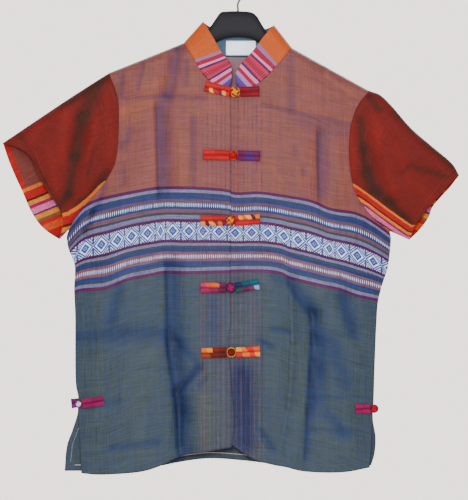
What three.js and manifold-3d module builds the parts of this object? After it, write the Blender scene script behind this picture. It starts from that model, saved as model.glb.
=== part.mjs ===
// A short-sleeved silk shirt with a stand collar and frog fastenings, hanging on a plastic hanger.
// Millimetres. The origin is where a rod bears in the hanger's hook, +Z is up, the front faces -Y.
// Left and right are the viewer's, facing the front. Every cloth piece is a thin wall of its own.
import * as THREE from 'three';
import { mergeVertices } from 'three/addons/utils/BufferGeometryUtils.js';
import Module from 'manifold-3d';

// ---- driving dimensions ----------------------------------------------------------------------
const CLOTH = 1.5; // thickness of a cloth wall
const SEAM = 0.3; // gap left between two pieces that are sewn together
const TURNED_SEAM = 0.9; // the same where the cloth turns at the seam, as at an armhole or the collar's foot
const COLLAR_PLY = 1.2; // thickness of each of the collar's two layers
const PLY_GAP = 0.4; // gap between those layers
const FACING_FOOT = 2; // how far the inner layer's foot stands above the neck seam
const SHOULDER_DROP = 14; // height over which the cloth turns down over the hanger's arm
const SIDE_SPREAD = 90; // distance from a side seam within which the body swells to full depth
const SIDE_PLAIN = 30; // distance from a side seam within which folds die out
// How far the right front is tucked in under the left one, and between which places the tuck dies out.
const TUCK = { depth: 2.6, full: -8, none: 14 };
const ARM_CLEARANCE = 2; // from the shoulder seam down to the top of the hanger's arm
const TURN = [0, 2.5, 7, 14]; // first rows below a shoulder or sleeve top, where the cloth turns
const NECK_ROWS = 8;
const CENTRE_ROWS = 20;
const ARMHOLE_ROWS = 14;
const SIDE_ROWS = 14;
const FRONT_COLUMNS = 18;
const BACK_SHOULDER_COLUMNS = 9;
const HALF_NECK_COLUMNS = 6;
const SLEEVE_ROWS = 8;

// ---- outlines in the plane of the front, top to bottom -----------------------------------------
const NECK_LEFT = [
  { x: -84, z: -125.4 }, { x: -68, z: -153.4 }, { x: -60, z: -166.2 }, { x: -52, z: -179.5 },
  { x: -39.2, z: -191 }, { x: -24.8, z: -196.6 }, { x: -13.6, z: -198.2 },
];
const NECK_RIGHT = [
  { x: 84.8, z: -132.6 }, { x: 69.6, z: -153.4 }, { x: 55.2, z: -167.8 }, { x: 39.2, z: -184.5 },
  { x: 29.6, z: -192.6 }, { x: 16.8, z: -198.2 }, { x: 4, z: -200.6 },
];
const NECK_BACK_LEFT = [
  { x: -84, z: -125.4 }, { x: -60, z: -137.5 }, { x: -32, z: -144 }, { x: 0, z: -146.2 },
];
const NECK_BACK_RIGHT = [
  { x: 84.8, z: -132.6 }, { x: 64, z: -140.5 }, { x: 36, z: -145 }, { x: 0, z: -146.2 },
];
const CENTRE_LEFT = [
  { x: -13.6, z: -198.2 }, { x: -11.5, z: -215 }, { x: -11.7, z: -529 }, { x: -11, z: -571 },
  { x: -14.4, z: -603 }, { x: -9.6, z: -670 }, { x: -5, z: -725 }, { x: -8.8, z: -772.3 },
];
const CENTRE_RIGHT = [
  { x: 4, z: -200.6 }, { x: -12, z: -214 }, { x: -25, z: -245 }, { x: -26, z: -400 },
  { x: -26, z: -600 }, { x: -24, z: -762 },
];
const ARMHOLE_LEFT = [
  { x: -205.6, z: -174.2 }, { x: -191.2, z: -215.8 }, { x: -189.9, z: -251 }, { x: -191.2, z: -287 },
  { x: -196, z: -318.2 }, { x: -205.5, z: -338 }, { x: -217.5, z: -356 }, { x: -233, z: -373 },
  { x: -248, z: -390 }, { x: -261, z: -408 }, { x: -269.5, z: -424 },
];
const ARMHOLE_RIGHT = [
  { x: 211.4, z: -203 }, { x: 196, z: -220.6 }, { x: 184.5, z: -246.2 }, { x: 179.4, z: -274.4 },
  { x: 178.4, z: -302.2 }, { x: 181.6, z: -338 }, { x: 188, z: -363.6 }, { x: 197, z: -380 },
  { x: 208, z: -395.5 }, { x: 221, z: -409.5 }, { x: 235, z: -421 }, { x: 243.5, z: -427 },
];
const SIDE_LEFT = [
  { x: -269.5, z: -424 }, { x: -273.5, z: -436 }, { x: -270.7, z: -455.3 }, { x: -261, z: -480 },
  { x: -261.6, z: -521.4 }, { x: -260, z: -560 }, { x: -258.7, z: -674.4 }, { x: -255.2, z: -692.1 },
  { x: -255.7, z: -717.7 }, { x: -253.1, z: -763.6 }, { x: -249.9, z: -814.7 },
];
const SIDE_RIGHT = [
  { x: 243.5, z: -427 }, { x: 245.6, z: -437 }, { x: 244.5, z: -457.4 }, { x: 240.5, z: -486 },
  { x: 231.7, z: -513.4 }, { x: 225.3, z: -539 }, { x: 222.7, z: -572.6 }, { x: 220, z: -636 },
  { x: 217.8, z: -702.2 }, { x: 216, z: -728 }, { x: 214.5, z: -765 }, { x: 211.4, z: -805.7 },
];
const SIDE_BACK_LEFT = [
  ...SIDE_LEFT.slice(0, 8),
  { x: -255.7, z: -716 }, { x: -264, z: -744 }, { x: -273.5, z: -771 }, { x: -277.6, z: -811 },
];
const SIDE_BACK_RIGHT = [
  ...SIDE_RIGHT.slice(0, 9),
  { x: 217, z: -728 }, { x: 221.6, z: -758 }, { x: 220, z: -783.8 }, { x: 214.5, z: -800 },
];
const HEM_LEFT = [
  { x: -249.9, z: -814.7 }, { x: -226.9, z: -816.8 }, { x: -181, z: -814.7 }, { x: -150.4, z: -811 },
  { x: -124.8, z: -803 }, { x: -96.8, z: -789.5 }, { x: -73.8, z: -783 }, { x: -48.3, z: -779.5 },
  { x: -8.8, z: -772.3 },
];
const HEM_RIGHT = [
  { x: -24, z: -762 }, { x: -8, z: -769.4 }, { x: 5.6, z: -779 }, { x: 26.4, z: -792 },
  { x: 56.8, z: -800.8 }, { x: 77.6, z: -804.6 }, { x: 104, z: -811 }, { x: 170.4, z: -812.6 },
  { x: 211.4, z: -805.7 },
];
const HEM_BACK = [
  { x: 214.5, z: -800 }, { x: 132, z: -806.2 }, { x: 56.8, z: -800.8 }, { x: 11.4, z: -794.7 },
  { x: -44, z: -791.8 }, { x: -100, z: -793 }, { x: -124, z: -799.8 }, { x: -188, z: -809.4 },
  { x: -277.6, z: -811 },
];
const CUFF_LEFT_FRONT = [
  { x: -375.4, z: -286.2 }, { x: -352, z: -293 }, { x: -333, z: -306 }, { x: -318.5, z: -338 },
  { x: -301.6, z: -366.2 }, { x: -287.2, z: -387.6 }, { x: -278, z: -408.6 }, { x: -284.5, z: -440.4 },
];
const CUFF_LEFT_BACK = [
  { x: -375.4, z: -286.2 }, { x: -367, z: -312 }, { x: -355.6, z: -340 }, { x: -344.8, z: -363 },
  { x: -331, z: -395 }, { x: -316.3, z: -417.4 }, { x: -301.6, z: -430.2 }, { x: -284.5, z: -440.4 },
];
const CUFF_RIGHT_FRONT = [
  { x: 354.4, z: -337.4 }, { x: 338.4, z: -352.6 }, { x: 324, z: -368.6 }, { x: 311.2, z: -383 },
  { x: 300, z: -396.6 }, { x: 288.8, z: -411.8 }, { x: 280.8, z: -427 }, { x: 275, z: -441.4 },
];
const CUFF_RIGHT_BACK = [
  { x: 354.4, z: -337.4 }, { x: 340, z: -356.6 }, { x: 324, z: -374.2 }, { x: 312, z: -389.4 },
  { x: 306.4, z: -404.6 }, { x: 296.8, z: -419 }, { x: 285.6, z: -431.8 }, { x: 275, z: -441.4 },
];
// The top fold of each sleeve, from the shoulder to the hem.
const SLEEVE_TOP_LEFT = [{ x: -205.6, z: -174.2 }, { x: -268, z: -214.2 }, { x: -375.4, z: -286.2 }];
const SLEEVE_TOP_RIGHT = [
  { x: 211.4, z: -203 }, { x: 226.4, z: -207.8 }, { x: 244, z: -223.8 }, { x: 277.6, z: -262.2 },
  { x: 312.8, z: -292.6 }, { x: 344, z: -319.8 }, { x: 354.4, z: -337.4 },
];

// ---- how deep the cloth stands in front of and behind the plane of the seams ------------------
const DEPTH = [
  { z: -816, front: 22, back: 20, edge: 8 },
  { z: -720, front: 24, back: 20, edge: 0.8 },
  { z: -600, front: 25, back: 20, edge: 0.8 },
  { z: -430, front: 25, back: 20, edge: 0.8 },
  { z: -385, front: 25, back: 20, edge: 6 },
  { z: -320, front: 25, back: 20, edge: 11 },
  { z: -200, front: 23, back: 18, edge: 12 },
  { z: -146, front: 18, back: 16, edge: 12 },
  { z: -120, front: 14, back: 14, edge: 12 },
];
// The largest folds: a soft trough (negative) or ridge along a line, with its half width.
const FRONT_FOLDS = [
  { x0: -97, z0: -137, x1: -113, z1: -210, wide: 13, rise: -4 },
  { x0: -122, z0: -240, x1: -120, z1: -355, wide: 16, rise: -4 },
  { x0: -150, z0: -160, x1: -162, z1: -200, wide: 12, rise: 3 },
  { x0: -106, z0: -490, x1: -98, z1: -640, wide: 15, rise: -5 },
  { x0: -96, z0: -660, x1: -88, z1: -800, wide: 16, rise: -6 },
  { x0: -240, z0: -597, x1: -140, z1: -597, wide: 16, rise: -2.5 },
  { x0: 137, z0: -175, x1: 192, z1: -215, wide: 14, rise: -3 },
  { x0: 136, z0: -275, x1: 132, z1: -372, wide: 14, rise: -4 },
  { x0: 8, z0: -670, x1: 8, z1: -770, wide: 16, rise: -7 },
  { x0: 84, z0: -500, x1: 84, z1: -690, wide: 13, rise: 4 },
  { x0: 118, z0: -560, x1: 134, z1: -700, wide: 16, rise: -5 },
  { x0: 128, z0: -720, x1: 118, z1: -800, wide: 16, rise: -4 },
  { x0: -60, z0: -700, x1: -52, z1: -780, wide: 16, rise: 3 },
  { x0: 180, z0: -540, x1: 196, z1: -600, wide: 14, rise: -3 },
];
const BACK_FOLDS = [
  { x0: -140, z0: -240, x1: -118, z1: -420, wide: 18, rise: -4 },
  { x0: 120, z0: -230, x1: 142, z1: -400, wide: 16, rise: -4 },
  { x0: -20, z0: -420, x1: -34, z1: -640, wide: 20, rise: -5 },
  { x0: 60, z0: -560, x1: 72, z1: -790, wide: 18, rise: -5 },
  { x0: -130, z0: -600, x1: -146, z1: -800, wide: 18, rise: -5 },
  { x0: 150, z0: -520, x1: 160, z1: -700, wide: 16, rise: 3 },
];
const SLEEVE_FOLDS_LEFT = [
  { x0: -222, z0: -205, x1: -250, z1: -275, wide: 16, rise: -7 },
  { x0: -250, z0: -275, x1: -274, z1: -372, wide: 15, rise: -8 },
  { x0: -230, z0: -215, x1: -236, z1: -330, wide: 12, rise: 3 },
];
const SLEEVE_FOLDS_RIGHT = [
  { x0: 192, z0: -252, x1: 206, z1: -310, wide: 12, rise: -4 },
  { x0: 206, z0: -310, x1: 244, z1: -398, wide: 14, rise: -6 },
  { x0: 262, z0: -326, x1: 322, z1: -334, wide: 12, rise: -3 },
];
// Half depth at the cuff, how far the middle puffs out, and the share of the length left unfolded.
const SLEEVE = { cuffDepth: 13, puff: 6, plain: 0.25 };

// ---- collar: matching points on the neck seam and on the top edge ------------------------------
const COLLAR_LEFT = [
  { x: -84, z: -125.4, topX: -55.2, topZ: -92.6 },
  { x: -76, z: -139, topX: -40.8, topZ: -115.8 },
  { x: -67.5, z: -153.1, topX: -28, topZ: -138.2 },
  { x: -60, z: -166.8, topX: -19.2, topZ: -151 },
  { x: -46.4, z: -183.8, topX: -11.2, topZ: -163 },
  { x: -33.6, z: -193.4, topX: -10.1, topZ: -176.6 },
  { x: -23.2, z: -197.2, topX: -10.4, topZ: -185.4 },
  { x: -13.6, z: -198.2, topX: -12.3, topZ: -193.4 },
];
const COLLAR_RIGHT = [
  { x: 84.8, z: -132.6, topX: 58.4, topZ: -98.2 },
  { x: 69.6, z: -153.4, topX: 42.4, topZ: -116.6 },
  { x: 55.8, z: -167.8, topX: 25.4, topZ: -139.6 },
  { x: 45.6, z: -179.8, topX: 16, topZ: -149.4 },
  { x: 31.2, z: -190.9, topX: 4.8, topZ: -163 },
  { x: 18.4, z: -198.2, topX: -1.9, topZ: -175 },
  { x: 10.4, z: -200.3, topX: -2.4, topZ: -186.2 },
  { x: 4, z: -200.6, topX: 0.8, topZ: -195.4 },
];
const COLLAR_TOP_BACK_LEFT = [
  { x: -55.2, z: -92.6 }, { x: -44, z: -99.8 }, { x: -24.8, z: -104.6 }, { x: 0, z: -106.2 },
];
const COLLAR_TOP_BACK_RIGHT = [
  { x: 58.4, z: -98.2 }, { x: 45.6, z: -103.2 }, { x: 24, z: -105.4 }, { x: 0, z: -106.2 },
];
const COLLAR_LEAN = 0.85; // depth of the collar's top edge as a share of the neck seam's
const COLLAR_ROWS = 3;
const LABEL = { left: -18.4, right: 29.6, top: -121.4, bottom: -144.5, thick: 1, lift: 0.5, columns: 4 };

// ---- frog fastenings: where each tab ends, where its knot sits, and how tall the tabs are -------
const FROGS = [
  { name: 'frog_1', left: -52, leftZ: -196, knot: -4, knotZ: -205, right: 35, rightZ: -204, radius: 7.4 },
  { name: 'frog_2', left: -54.5, leftZ: -305.5, knot: -6.2, knotZ: -306.4, right: 36, rightZ: -307.5, radius: 6.6 },
  { name: 'frog_3', left: -59, leftZ: -411, knot: -11.2, knotZ: -410.6, right: 36, rightZ: -408, radius: 7 },
  { name: 'frog_4', left: -59, leftZ: -517.5, knot: -10.9, knotZ: -517.6, right: 34.5, rightZ: -512, radius: 7 },
  { name: 'frog_5', left: -57.5, leftZ: -622, knot: -9.8, knotZ: -620.6, right: 36, rightZ: -619, radius: 7 },
];
const TAB = { half: 8, thick: 4, lift: 0.6, steps: 5, end: 0.85 };
const KNOT = { around: 12, down: 8, flat: 0.7, climb: 2.5 };
const SIDE_TAB = { half: 5.5, thick: 3.5, lift: 0.9, steps: 6, end: 0.9 };
// The right vent's loop is turned in out of sight behind its knot, so it has no tab on the back.
const VENTS = [
  { name: 'vent_left', edge: -256.5, inner: -214, z: -703.8, innerZ: -698, knot: -254.5, radius: 5, way: -1 },
  { name: 'vent_right', edge: null, inner: 189, z: -711.5, innerZ: -712, knot: 219, radius: 6, way: 1 },
];

// ---- hanger --------------------------------------------------------------------------------------
const HANGER = [
  { x: -200, top: null, bottom: -186, deep: 6 },
  { x: -170, top: null, bottom: -178.5, deep: 7 },
  { x: -140, top: null, bottom: -170.5, deep: 7 },
  { x: -84, top: -133.5, bottom: -153.4, deep: 6.5 },
  { x: -55.2, top: -112, bottom: -137.4, deep: 6.5 },
  { x: -43, top: -98.5, bottom: -130.2, deep: 6.5 },
  { x: -34.4, top: -85.9, bottom: -124.8, deep: 6.5 },
  { x: -26.5, top: -76.2, bottom: -121, deep: 6.5 },
  { x: -18, top: -74.9, bottom: -118.5, deep: 6.5 },
  { x: 0, top: -74.4, bottom: -116.6, deep: 6.5 },
  { x: 23.2, top: -76.6, bottom: -119.6, deep: 6.5 },
  { x: 31.2, top: -82.7, bottom: -124.4, deep: 6.5 },
  { x: 35.4, top: -89.4, bottom: -126, deep: 6.5 },
  { x: 44, top: -103.2, bottom: -131, deep: 6.5 },
  { x: 60, top: -121, bottom: -142.2, deep: 6.5 },
  { x: 84.8, top: -141, bottom: -161.4, deep: 6.5 },
  { x: 140, top: null, bottom: -189.5, deep: 7 },
  { x: 175, top: null, bottom: -206, deep: 7 },
  { x: 204, top: null, bottom: -218, deep: 6 },
];
const ARM_SIDES = 10;
const ARM_SQUARENESS = 0.8; // 1 is an oval section, less is squarer
const HOOK = {
  radius: 1.6, crook: 24, stem: 0.8, socket: 11, foot: -84, neck: -73, bend: -62,
  firstAngle: -50, lastAngle: 200, step: 25, rings: 36, quarters: 4, socketSides: 12,
};

// ---- colours -----------------------------------------------------------------------------------
const FINISH = {
  mauve: { color: 0xa06a62, roughness: 0.55, metalness: 0 },
  red: { color: 0x8c2a20, roughness: 0.6, metalness: 0 },
  orange: { color: 0xcd7a3c, roughness: 0.6, metalness: 0 },
  teal: { color: 0x1f4a52, roughness: 0.6, metalness: 0 },
  white: { color: 0xe8ecf0, roughness: 0.7, metalness: 0 },
  cord: { color: 0xb0263c, roughness: 0.5, metalness: 0 },
  plastic: { color: 0x2a302c, roughness: 0.4, metalness: 0 },
  steel: { color: 0x8f9694, roughness: 0.35, metalness: 1 },
};

const group = new THREE.Group();

function add(name, geometry, finish) {
  const mesh = new THREE.Mesh(geometry, new THREE.MeshStandardMaterial(FINISH[finish]));
  mesh.name = name;
  group.add(mesh);
  return mesh;
}

// ---- curves and tables ----------------------------------------------------------------------------
// Points along a smooth curve through the rows of a table: the first ones at the given distances
// from its start, the rest evenly spaced up to the given count of steps.
function along(rows, steps, starts = [0]) {
  const knots = rows.map((row) => new THREE.Vector3(row.x, row.y ?? 0, row.z));
  const curve = new THREE.CatmullRomCurve3(knots, false, 'centripetal');
  const length = curve.getLength();
  const last = starts[starts.length - 1];
  const even = steps - starts.length + 1;
  const distances = [...starts];
  for (let k = 1; k <= even; k++) distances.push(last + ((length - last) * k) / even);
  return distances.map((distance) => curve.getPointAt(Math.min(1, distance / length)));
}

// The value of one column of a table at a given value of another, which rises row by row.
function lookUp(rows, by, column, at) {
  const first = rows[0];
  const last = rows[rows.length - 1];
  if (at <= first[by]) return first[column];
  if (at >= last[by]) return last[column];
  const k = rows.findIndex((row) => row[by] > at);
  const share = (at - rows[k - 1][by]) / (rows[k][by] - rows[k - 1][by]);
  const soft = share * share * (3 - 2 * share);
  return THREE.MathUtils.lerp(rows[k - 1][column], rows[k][column], soft);
}

function straightLookUp(rows, by, column, at) {
  const above = rows.findIndex((row) => row[by] > at);
  const k = above < 0 ? rows.length - 1 : Math.max(1, above);
  const share = (at - rows[k - 1][by]) / (rows[k][by] - rows[k - 1][by]);
  return THREE.MathUtils.lerp(rows[k - 1][column], rows[k][column], THREE.MathUtils.clamp(share, 0, 1));
}

// Rows of points that fill the four-sided outline between two side edges, a top and a bottom.
function patch(left, right, top, bottom) {
  const run = (points) => {
    const sums = [0];
    for (let k = 1; k < points.length; k++) {
      sums.push(sums[k - 1] + points[k].distanceTo(points[k - 1]));
    }
    return sums.map((sum) => sum / sums[sums.length - 1]);
  };
  const down = run(left).map((share, i) => (share + run(right)[i]) / 2);
  const across = run(top).map((share, j) => (share + run(bottom)[j]) / 2);
  return down.map((v, i) => across.map((u, j) => {
    const point = new THREE.Vector3();
    point.addScaledVector(left[i], 1 - u).addScaledVector(right[i], u);
    point.addScaledVector(top[j], 1 - v).addScaledVector(bottom[j], v);
    point.addScaledVector(left[0], -(1 - u) * (1 - v)).addScaledVector(right[0], -u * (1 - v));
    point.addScaledVector(left[left.length - 1], -(1 - u) * v);
    return point.addScaledVector(right[right.length - 1], -u * v);
  }));
}

// ---- walls ---------------------------------------------------------------------------------------
// Outward normals of a grid whose columns run left to right, and rows top to bottom, seen from outside.
function normalsOf(grid, around = false) {
  const rows = grid.length;
  const columns = grid[0].length;
  const before = (j) => (around ? (j + columns - 1) % columns : Math.max(0, j - 1));
  const after = (j) => (around ? (j + 1) % columns : Math.min(columns - 1, j + 1));
  return grid.map((row, i) => row.map((point, j) => {
    const down = grid[Math.min(rows - 1, i + 1)][j].clone().sub(grid[Math.max(0, i - 1)][j]);
    const across = row[after(j)].clone().sub(row[before(j)]);
    return down.cross(across).normalize();
  }));
}

// A closed wall between two offsets from a grid of points, with rims round its open edges.
function wall(grid, normals, outside, inside, around = false) {
  const rows = grid.length;
  const columns = grid[0].length;
  const positions = [];
  for (const offset of [outside, inside]) {
    grid.forEach((row, i) => row.forEach((point, j) => {
      const moved = point.clone().addScaledVector(normals[i][j], offset);
      positions.push(moved.x, moved.y, moved.z);
    }));
  }
  const index = [];
  const outer = (i, j) => i * columns + (j % columns);
  const inner = (i, j) => rows * columns + outer(i, j);
  const quad = (a, b, c, d) => index.push(a, b, c, c, b, d);
  const spans = around ? columns : columns - 1;
  for (let i = 0; i < rows - 1; i++) {
    for (let j = 0; j < spans; j++) {
      quad(outer(i, j), outer(i + 1, j), outer(i, j + 1), outer(i + 1, j + 1));
      quad(inner(i, j), inner(i, j + 1), inner(i + 1, j), inner(i + 1, j + 1));
    }
  }
  for (let j = 0; j < spans; j++) {
    quad(inner(0, j), outer(0, j), inner(0, j + 1), outer(0, j + 1));
    quad(outer(rows - 1, j), inner(rows - 1, j), outer(rows - 1, j + 1), inner(rows - 1, j + 1));
  }
  for (let i = 0; !around && i < rows - 1; i++) {
    quad(outer(i, 0), inner(i, 0), outer(i + 1, 0), inner(i + 1, 0));
    quad(inner(i, columns - 1), outer(i, columns - 1), inner(i + 1, columns - 1), outer(i + 1, columns - 1));
  }
  return solid(positions, index);
}

function solid(positions, index) {
  const geometry = new THREE.BufferGeometry();
  geometry.setAttribute('position', new THREE.Float32BufferAttribute(positions, 3));
  geometry.setIndex(index);
  return geometry;
}

// A closed solid through rings of the same number of points, capped flat at both ends.
function loft(rings) {
  const count = rings[0].length;
  const positions = rings.flat().flatMap((point) => point.toArray());
  const index = [];
  for (let i = 0; i < rings.length - 1; i++) {
    for (let j = 0; j < count; j++) {
      const a = i * count + j;
      const b = i * count + ((j + 1) % count);
      index.push(a, a + count, b, b, a + count, b + count);
    }
  }
  const end = (rings.length - 1) * count;
  for (let j = 1; j < count - 1; j++) {
    index.push(0, j, j + 1, end, end + j + 1, end + j);
  }
  return solid(positions, index);
}

// ---- the cloth's surface ----------------------------------------------------------------------------
// The height of the shoulder seam above a place, and how far the place lies inside the side edges.
const shoulder = [NECK_LEFT[0], ARMHOLE_LEFT[0], NECK_RIGHT[0], ARMHOLE_RIGHT[0]];

function shoulderHeight(x) {
  const [neck, tip] = x < 0 ? shoulder.slice(0, 2) : shoulder.slice(2);
  return neck.z + ((x - neck.x) * (tip.z - neck.z)) / (tip.x - neck.x);
}

const EDGE_LEFT = [...ARMHOLE_LEFT, ...SIDE_LEFT.slice(1)].reverse();
const EDGE_RIGHT = [...ARMHOLE_RIGHT, ...SIDE_RIGHT.slice(1)].reverse();

function distanceInside(x, z) {
  const fromLeft = x - straightLookUp(EDGE_LEFT, 'z', 'x', z);
  const fromRight = straightLookUp(EDGE_RIGHT, 'z', 'x', z) - x;
  return Math.max(0, Math.min(fromLeft, fromRight));
}

function foldRise(folds, x, z) {
  let sum = 0;
  for (const fold of folds) {
    const length = Math.hypot(fold.x1 - fold.x0, fold.z1 - fold.z0);
    const alongX = (fold.x1 - fold.x0) / length;
    const alongZ = (fold.z1 - fold.z0) / length;
    const reach = (x - fold.x0) * alongX + (z - fold.z0) * alongZ;
    const nearest = THREE.MathUtils.clamp(reach, 0, length);
    const off = Math.hypot(x - fold.x0 - nearest * alongX, z - fold.z0 - nearest * alongZ);
    sum += fold.rise * Math.exp(-((off / fold.wide) ** 2));
  }
  return sum;
}

// Distance of the middle of the cloth from the plane of the seams, at a place in that plane.
function bodyDepth(side, x, z) {
  const drop = THREE.MathUtils.clamp((shoulderHeight(x) - z) / SHOULDER_DROP, 0, 1);
  const turn = Math.sqrt(1 - (1 - drop) ** 2);
  const inside = distanceInside(x, z);
  const swell = 1 - (1 - Math.min(1, inside / SIDE_SPREAD)) ** 2;
  const edge = lookUp(DEPTH, 'z', 'edge', z);
  const middle = lookUp(DEPTH, 'z', side, z);
  const folds = foldRise(side === 'front' ? FRONT_FOLDS : BACK_FOLDS, x, z);
  return SEAM / 2 + turn * (edge + (middle - edge) * swell + folds * Math.min(1, inside / SIDE_PLAIN));
}

// The right front dips under the left one beside the centre edge.
function tuck(x) {
  return TUCK.depth * (1 - THREE.MathUtils.smoothstep(x, TUCK.full, TUCK.none));
}

const frontLeftY = (x, z) => -bodyDepth('front', x, z);
const frontRightY = (x, z) => -bodyDepth('front', x, z) + tuck(x);
const backY = (x, z) => bodyDepth('back', x, z);

function onSurface(grid, height) {
  return grid.map((row) => row.map((p) => new THREE.Vector3(p.x, height(p.x, p.z), p.z)));
}

// Seams lie flat: edge rows face straight up along a shoulder, edge columns straight out at a side.
function pressSeams(normals, shoulderColumns, sideColumns, out) {
  for (const { from, to, slope } of shoulderColumns) {
    const up = new THREE.Vector3(-slope, 0, 1).normalize();
    for (let j = from; j <= to; j++) normals[0][j].copy(up);
  }
  for (const column of sideColumns) {
    for (let i = 1; i < normals.length; i++) normals[i][column].set(0, out, 0);
  }
  return normals;
}

const slopeOf = (neck, tip) => (tip.z - neck.z) / (tip.x - neck.x);
const slopeLeft = slopeOf(NECK_LEFT[0], ARMHOLE_LEFT[0]);
const slopeRight = slopeOf(NECK_RIGHT[0], ARMHOLE_RIGHT[0]);

function edgeRows(upper, upperSteps, lower, lowerSteps) {
  return [...along(upper, upperSteps, TURN), ...along(lower, lowerSteps).slice(1)];
}

const innerLeft = edgeRows(NECK_LEFT, NECK_ROWS, CENTRE_LEFT, CENTRE_ROWS);
const innerRight = edgeRows(NECK_RIGHT, NECK_ROWS, CENTRE_RIGHT, CENTRE_ROWS);
const outerLeft = edgeRows(ARMHOLE_LEFT, ARMHOLE_ROWS, SIDE_LEFT, SIDE_ROWS);
const outerRight = edgeRows(ARMHOLE_RIGHT, ARMHOLE_ROWS, SIDE_RIGHT, SIDE_ROWS);

// ---- fronts ---------------------------------------------------------------------------------------
function frontPanel(name, left, right, topEnds, hem, height, shoulderSlope, sideColumn) {
  const top = along(topEnds, FRONT_COLUMNS);
  const grid = onSurface(patch(left, right, top, along(hem, FRONT_COLUMNS)), height);
  const seams = [{ from: 0, to: FRONT_COLUMNS, slope: shoulderSlope }];
  const normals = pressSeams(normalsOf(grid), seams, [sideColumn], -1);
  add(name, wall(grid, normals, CLOTH / 2, -CLOTH / 2), 'mauve');
}

frontPanel('front_left', outerLeft, innerLeft, [ARMHOLE_LEFT[0], NECK_LEFT[0]], HEM_LEFT,
  frontLeftY, slopeLeft, 0);
frontPanel('front_right', innerRight, outerRight, [NECK_RIGHT[0], ARMHOLE_RIGHT[0]], HEM_RIGHT,
  frontRightY, slopeRight, FRONT_COLUMNS);

// ---- back -----------------------------------------------------------------------------------------
const backColumns = 2 * (BACK_SHOULDER_COLUMNS + HALF_NECK_COLUMNS);
const backNeckLeft = along(NECK_BACK_LEFT, HALF_NECK_COLUMNS, TURN);
const backNeckRight = along(NECK_BACK_RIGHT, HALF_NECK_COLUMNS, TURN);
const backTop = [
  ...along([ARMHOLE_RIGHT[0], NECK_RIGHT[0]], BACK_SHOULDER_COLUMNS),
  ...backNeckRight.slice(1),
  ...[...backNeckLeft].reverse().slice(1),
  ...along([NECK_LEFT[0], ARMHOLE_LEFT[0]], BACK_SHOULDER_COLUMNS).slice(1),
];
const backGrid = onSurface(patch(
  edgeRows(ARMHOLE_RIGHT, ARMHOLE_ROWS, SIDE_BACK_RIGHT, SIDE_ROWS),
  edgeRows(ARMHOLE_LEFT, ARMHOLE_ROWS, SIDE_BACK_LEFT, SIDE_ROWS),
  backTop, along(HEM_BACK, backColumns)), backY);
const backSeams = [
  { from: 0, to: BACK_SHOULDER_COLUMNS, slope: slopeRight },
  { from: backColumns - BACK_SHOULDER_COLUMNS, to: backColumns, slope: slopeLeft },
];
const backNormals = pressSeams(normalsOf(backGrid), backSeams, [0, backColumns], 1);
add('back', wall(backGrid, backNormals, CLOTH / 2, -CLOTH / 2), 'mauve');

// ---- sleeves --------------------------------------------------------------------------------------
// Each sleeve is one open tube: a front and a back half that meet along the top fold and the underarm.
function sleeveHalf(armhole, topFold, cuff, away, height, facing, folds) {
  const seam = along(armhole, ARMHOLE_ROWS, TURN);
  const end = along(cuff, ARMHOLE_ROWS, TURN);
  const fold = along(topFold, SLEEVE_ROWS);
  const under = along([armhole[armhole.length - 1], cuff[cuff.length - 1]], SLEEVE_ROWS);
  const flat = patch(seam, end, fold, under);
  const clear = seam.map((_, i) => {
    const run = seam[Math.min(ARMHOLE_ROWS, i + 1)].clone().sub(seam[Math.max(0, i - 1)]).normalize();
    return new THREE.Vector3(-run.z, 0, run.x).multiplyScalar(away * TURNED_SEAM);
  });
  return flat.map((row, i) => row.map((point, j) => {
    const reach = j / SLEEVE_ROWS;
    const closed = i === 0 || i === ARMHOLE_ROWS;
    const round = Math.sqrt(Math.sin((Math.PI * i) / ARMHOLE_ROWS));
    const seamDepth = Math.abs(height(seam[i].x, seam[i].z));
    const swell = SLEEVE.puff * round * Math.sin(Math.PI * reach);
    const creases = foldRise(folds, point.x, point.z) * round * Math.min(1, reach / SLEEVE.plain);
    const depth = seamDepth * (1 - reach) + SLEEVE.cuffDepth * round * reach + swell + creases;
    const y = closed ? 0 : facing * Math.max(depth, CLOTH);
    return new THREE.Vector3(point.x, y, point.z).add(clear[i]);
  }));
}

function sleeve(name, armhole, topFold, frontCuff, backCuff, away, folds) {
  const front = sleeveHalf(armhole, topFold, frontCuff, away, frontLeftY, -1, folds);
  const back = sleeveHalf(armhole, topFold, backCuff, away, backY, 1, []);
  const ring = [...front, ...back.slice(1, -1).reverse()];
  const turned = away < 0 ? ring : [...ring].reverse();
  const grid = turned[0].map((_, j) => turned.map((row) => row[j]));
  const normals = normalsOf(grid, true);
  // At the armhole the sleeve's cloth lies in line with the body's.
  normals[0].forEach((normal, j) => {
    if (grid[0][j].y !== 0) normal.set(0, Math.sign(grid[0][j].y), 0);
  });
  add(name, wall(grid, normals, CLOTH / 2, -CLOTH / 2, true), 'red');
}

sleeve('sleeve_left', ARMHOLE_LEFT, SLEEVE_TOP_LEFT, CUFF_LEFT_FRONT, CUFF_LEFT_BACK, -1,
  SLEEVE_FOLDS_LEFT);
sleeve('sleeve_right', ARMHOLE_RIGHT, SLEEVE_TOP_RIGHT, CUFF_RIGHT_FRONT, CUFF_RIGHT_BACK, 1,
  SLEEVE_FOLDS_RIGHT);

// ---- collar ---------------------------------------------------------------------------------------
// A band that stands on the neck seam, from one rounded front end round the back to the other.
function collarPost(point, y, top) {
  const seam = new THREE.Vector3(point.x, y, point.z);
  return { seam, top: new THREE.Vector3(top.x, y * COLLAR_LEAN, top.z) };
}

function collarFront(pairs, neck, height) {
  const table = [...pairs].reverse();
  return along(neck, NECK_ROWS, TURN).map((point, k) => {
    const x = straightLookUp(table, 'z', 'topX', point.z);
    const z = straightLookUp(table, 'z', 'topZ', point.z);
    return collarPost(point, k === 0 ? 0 : height(point.x, point.z), { x, z });
  });
}

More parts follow.
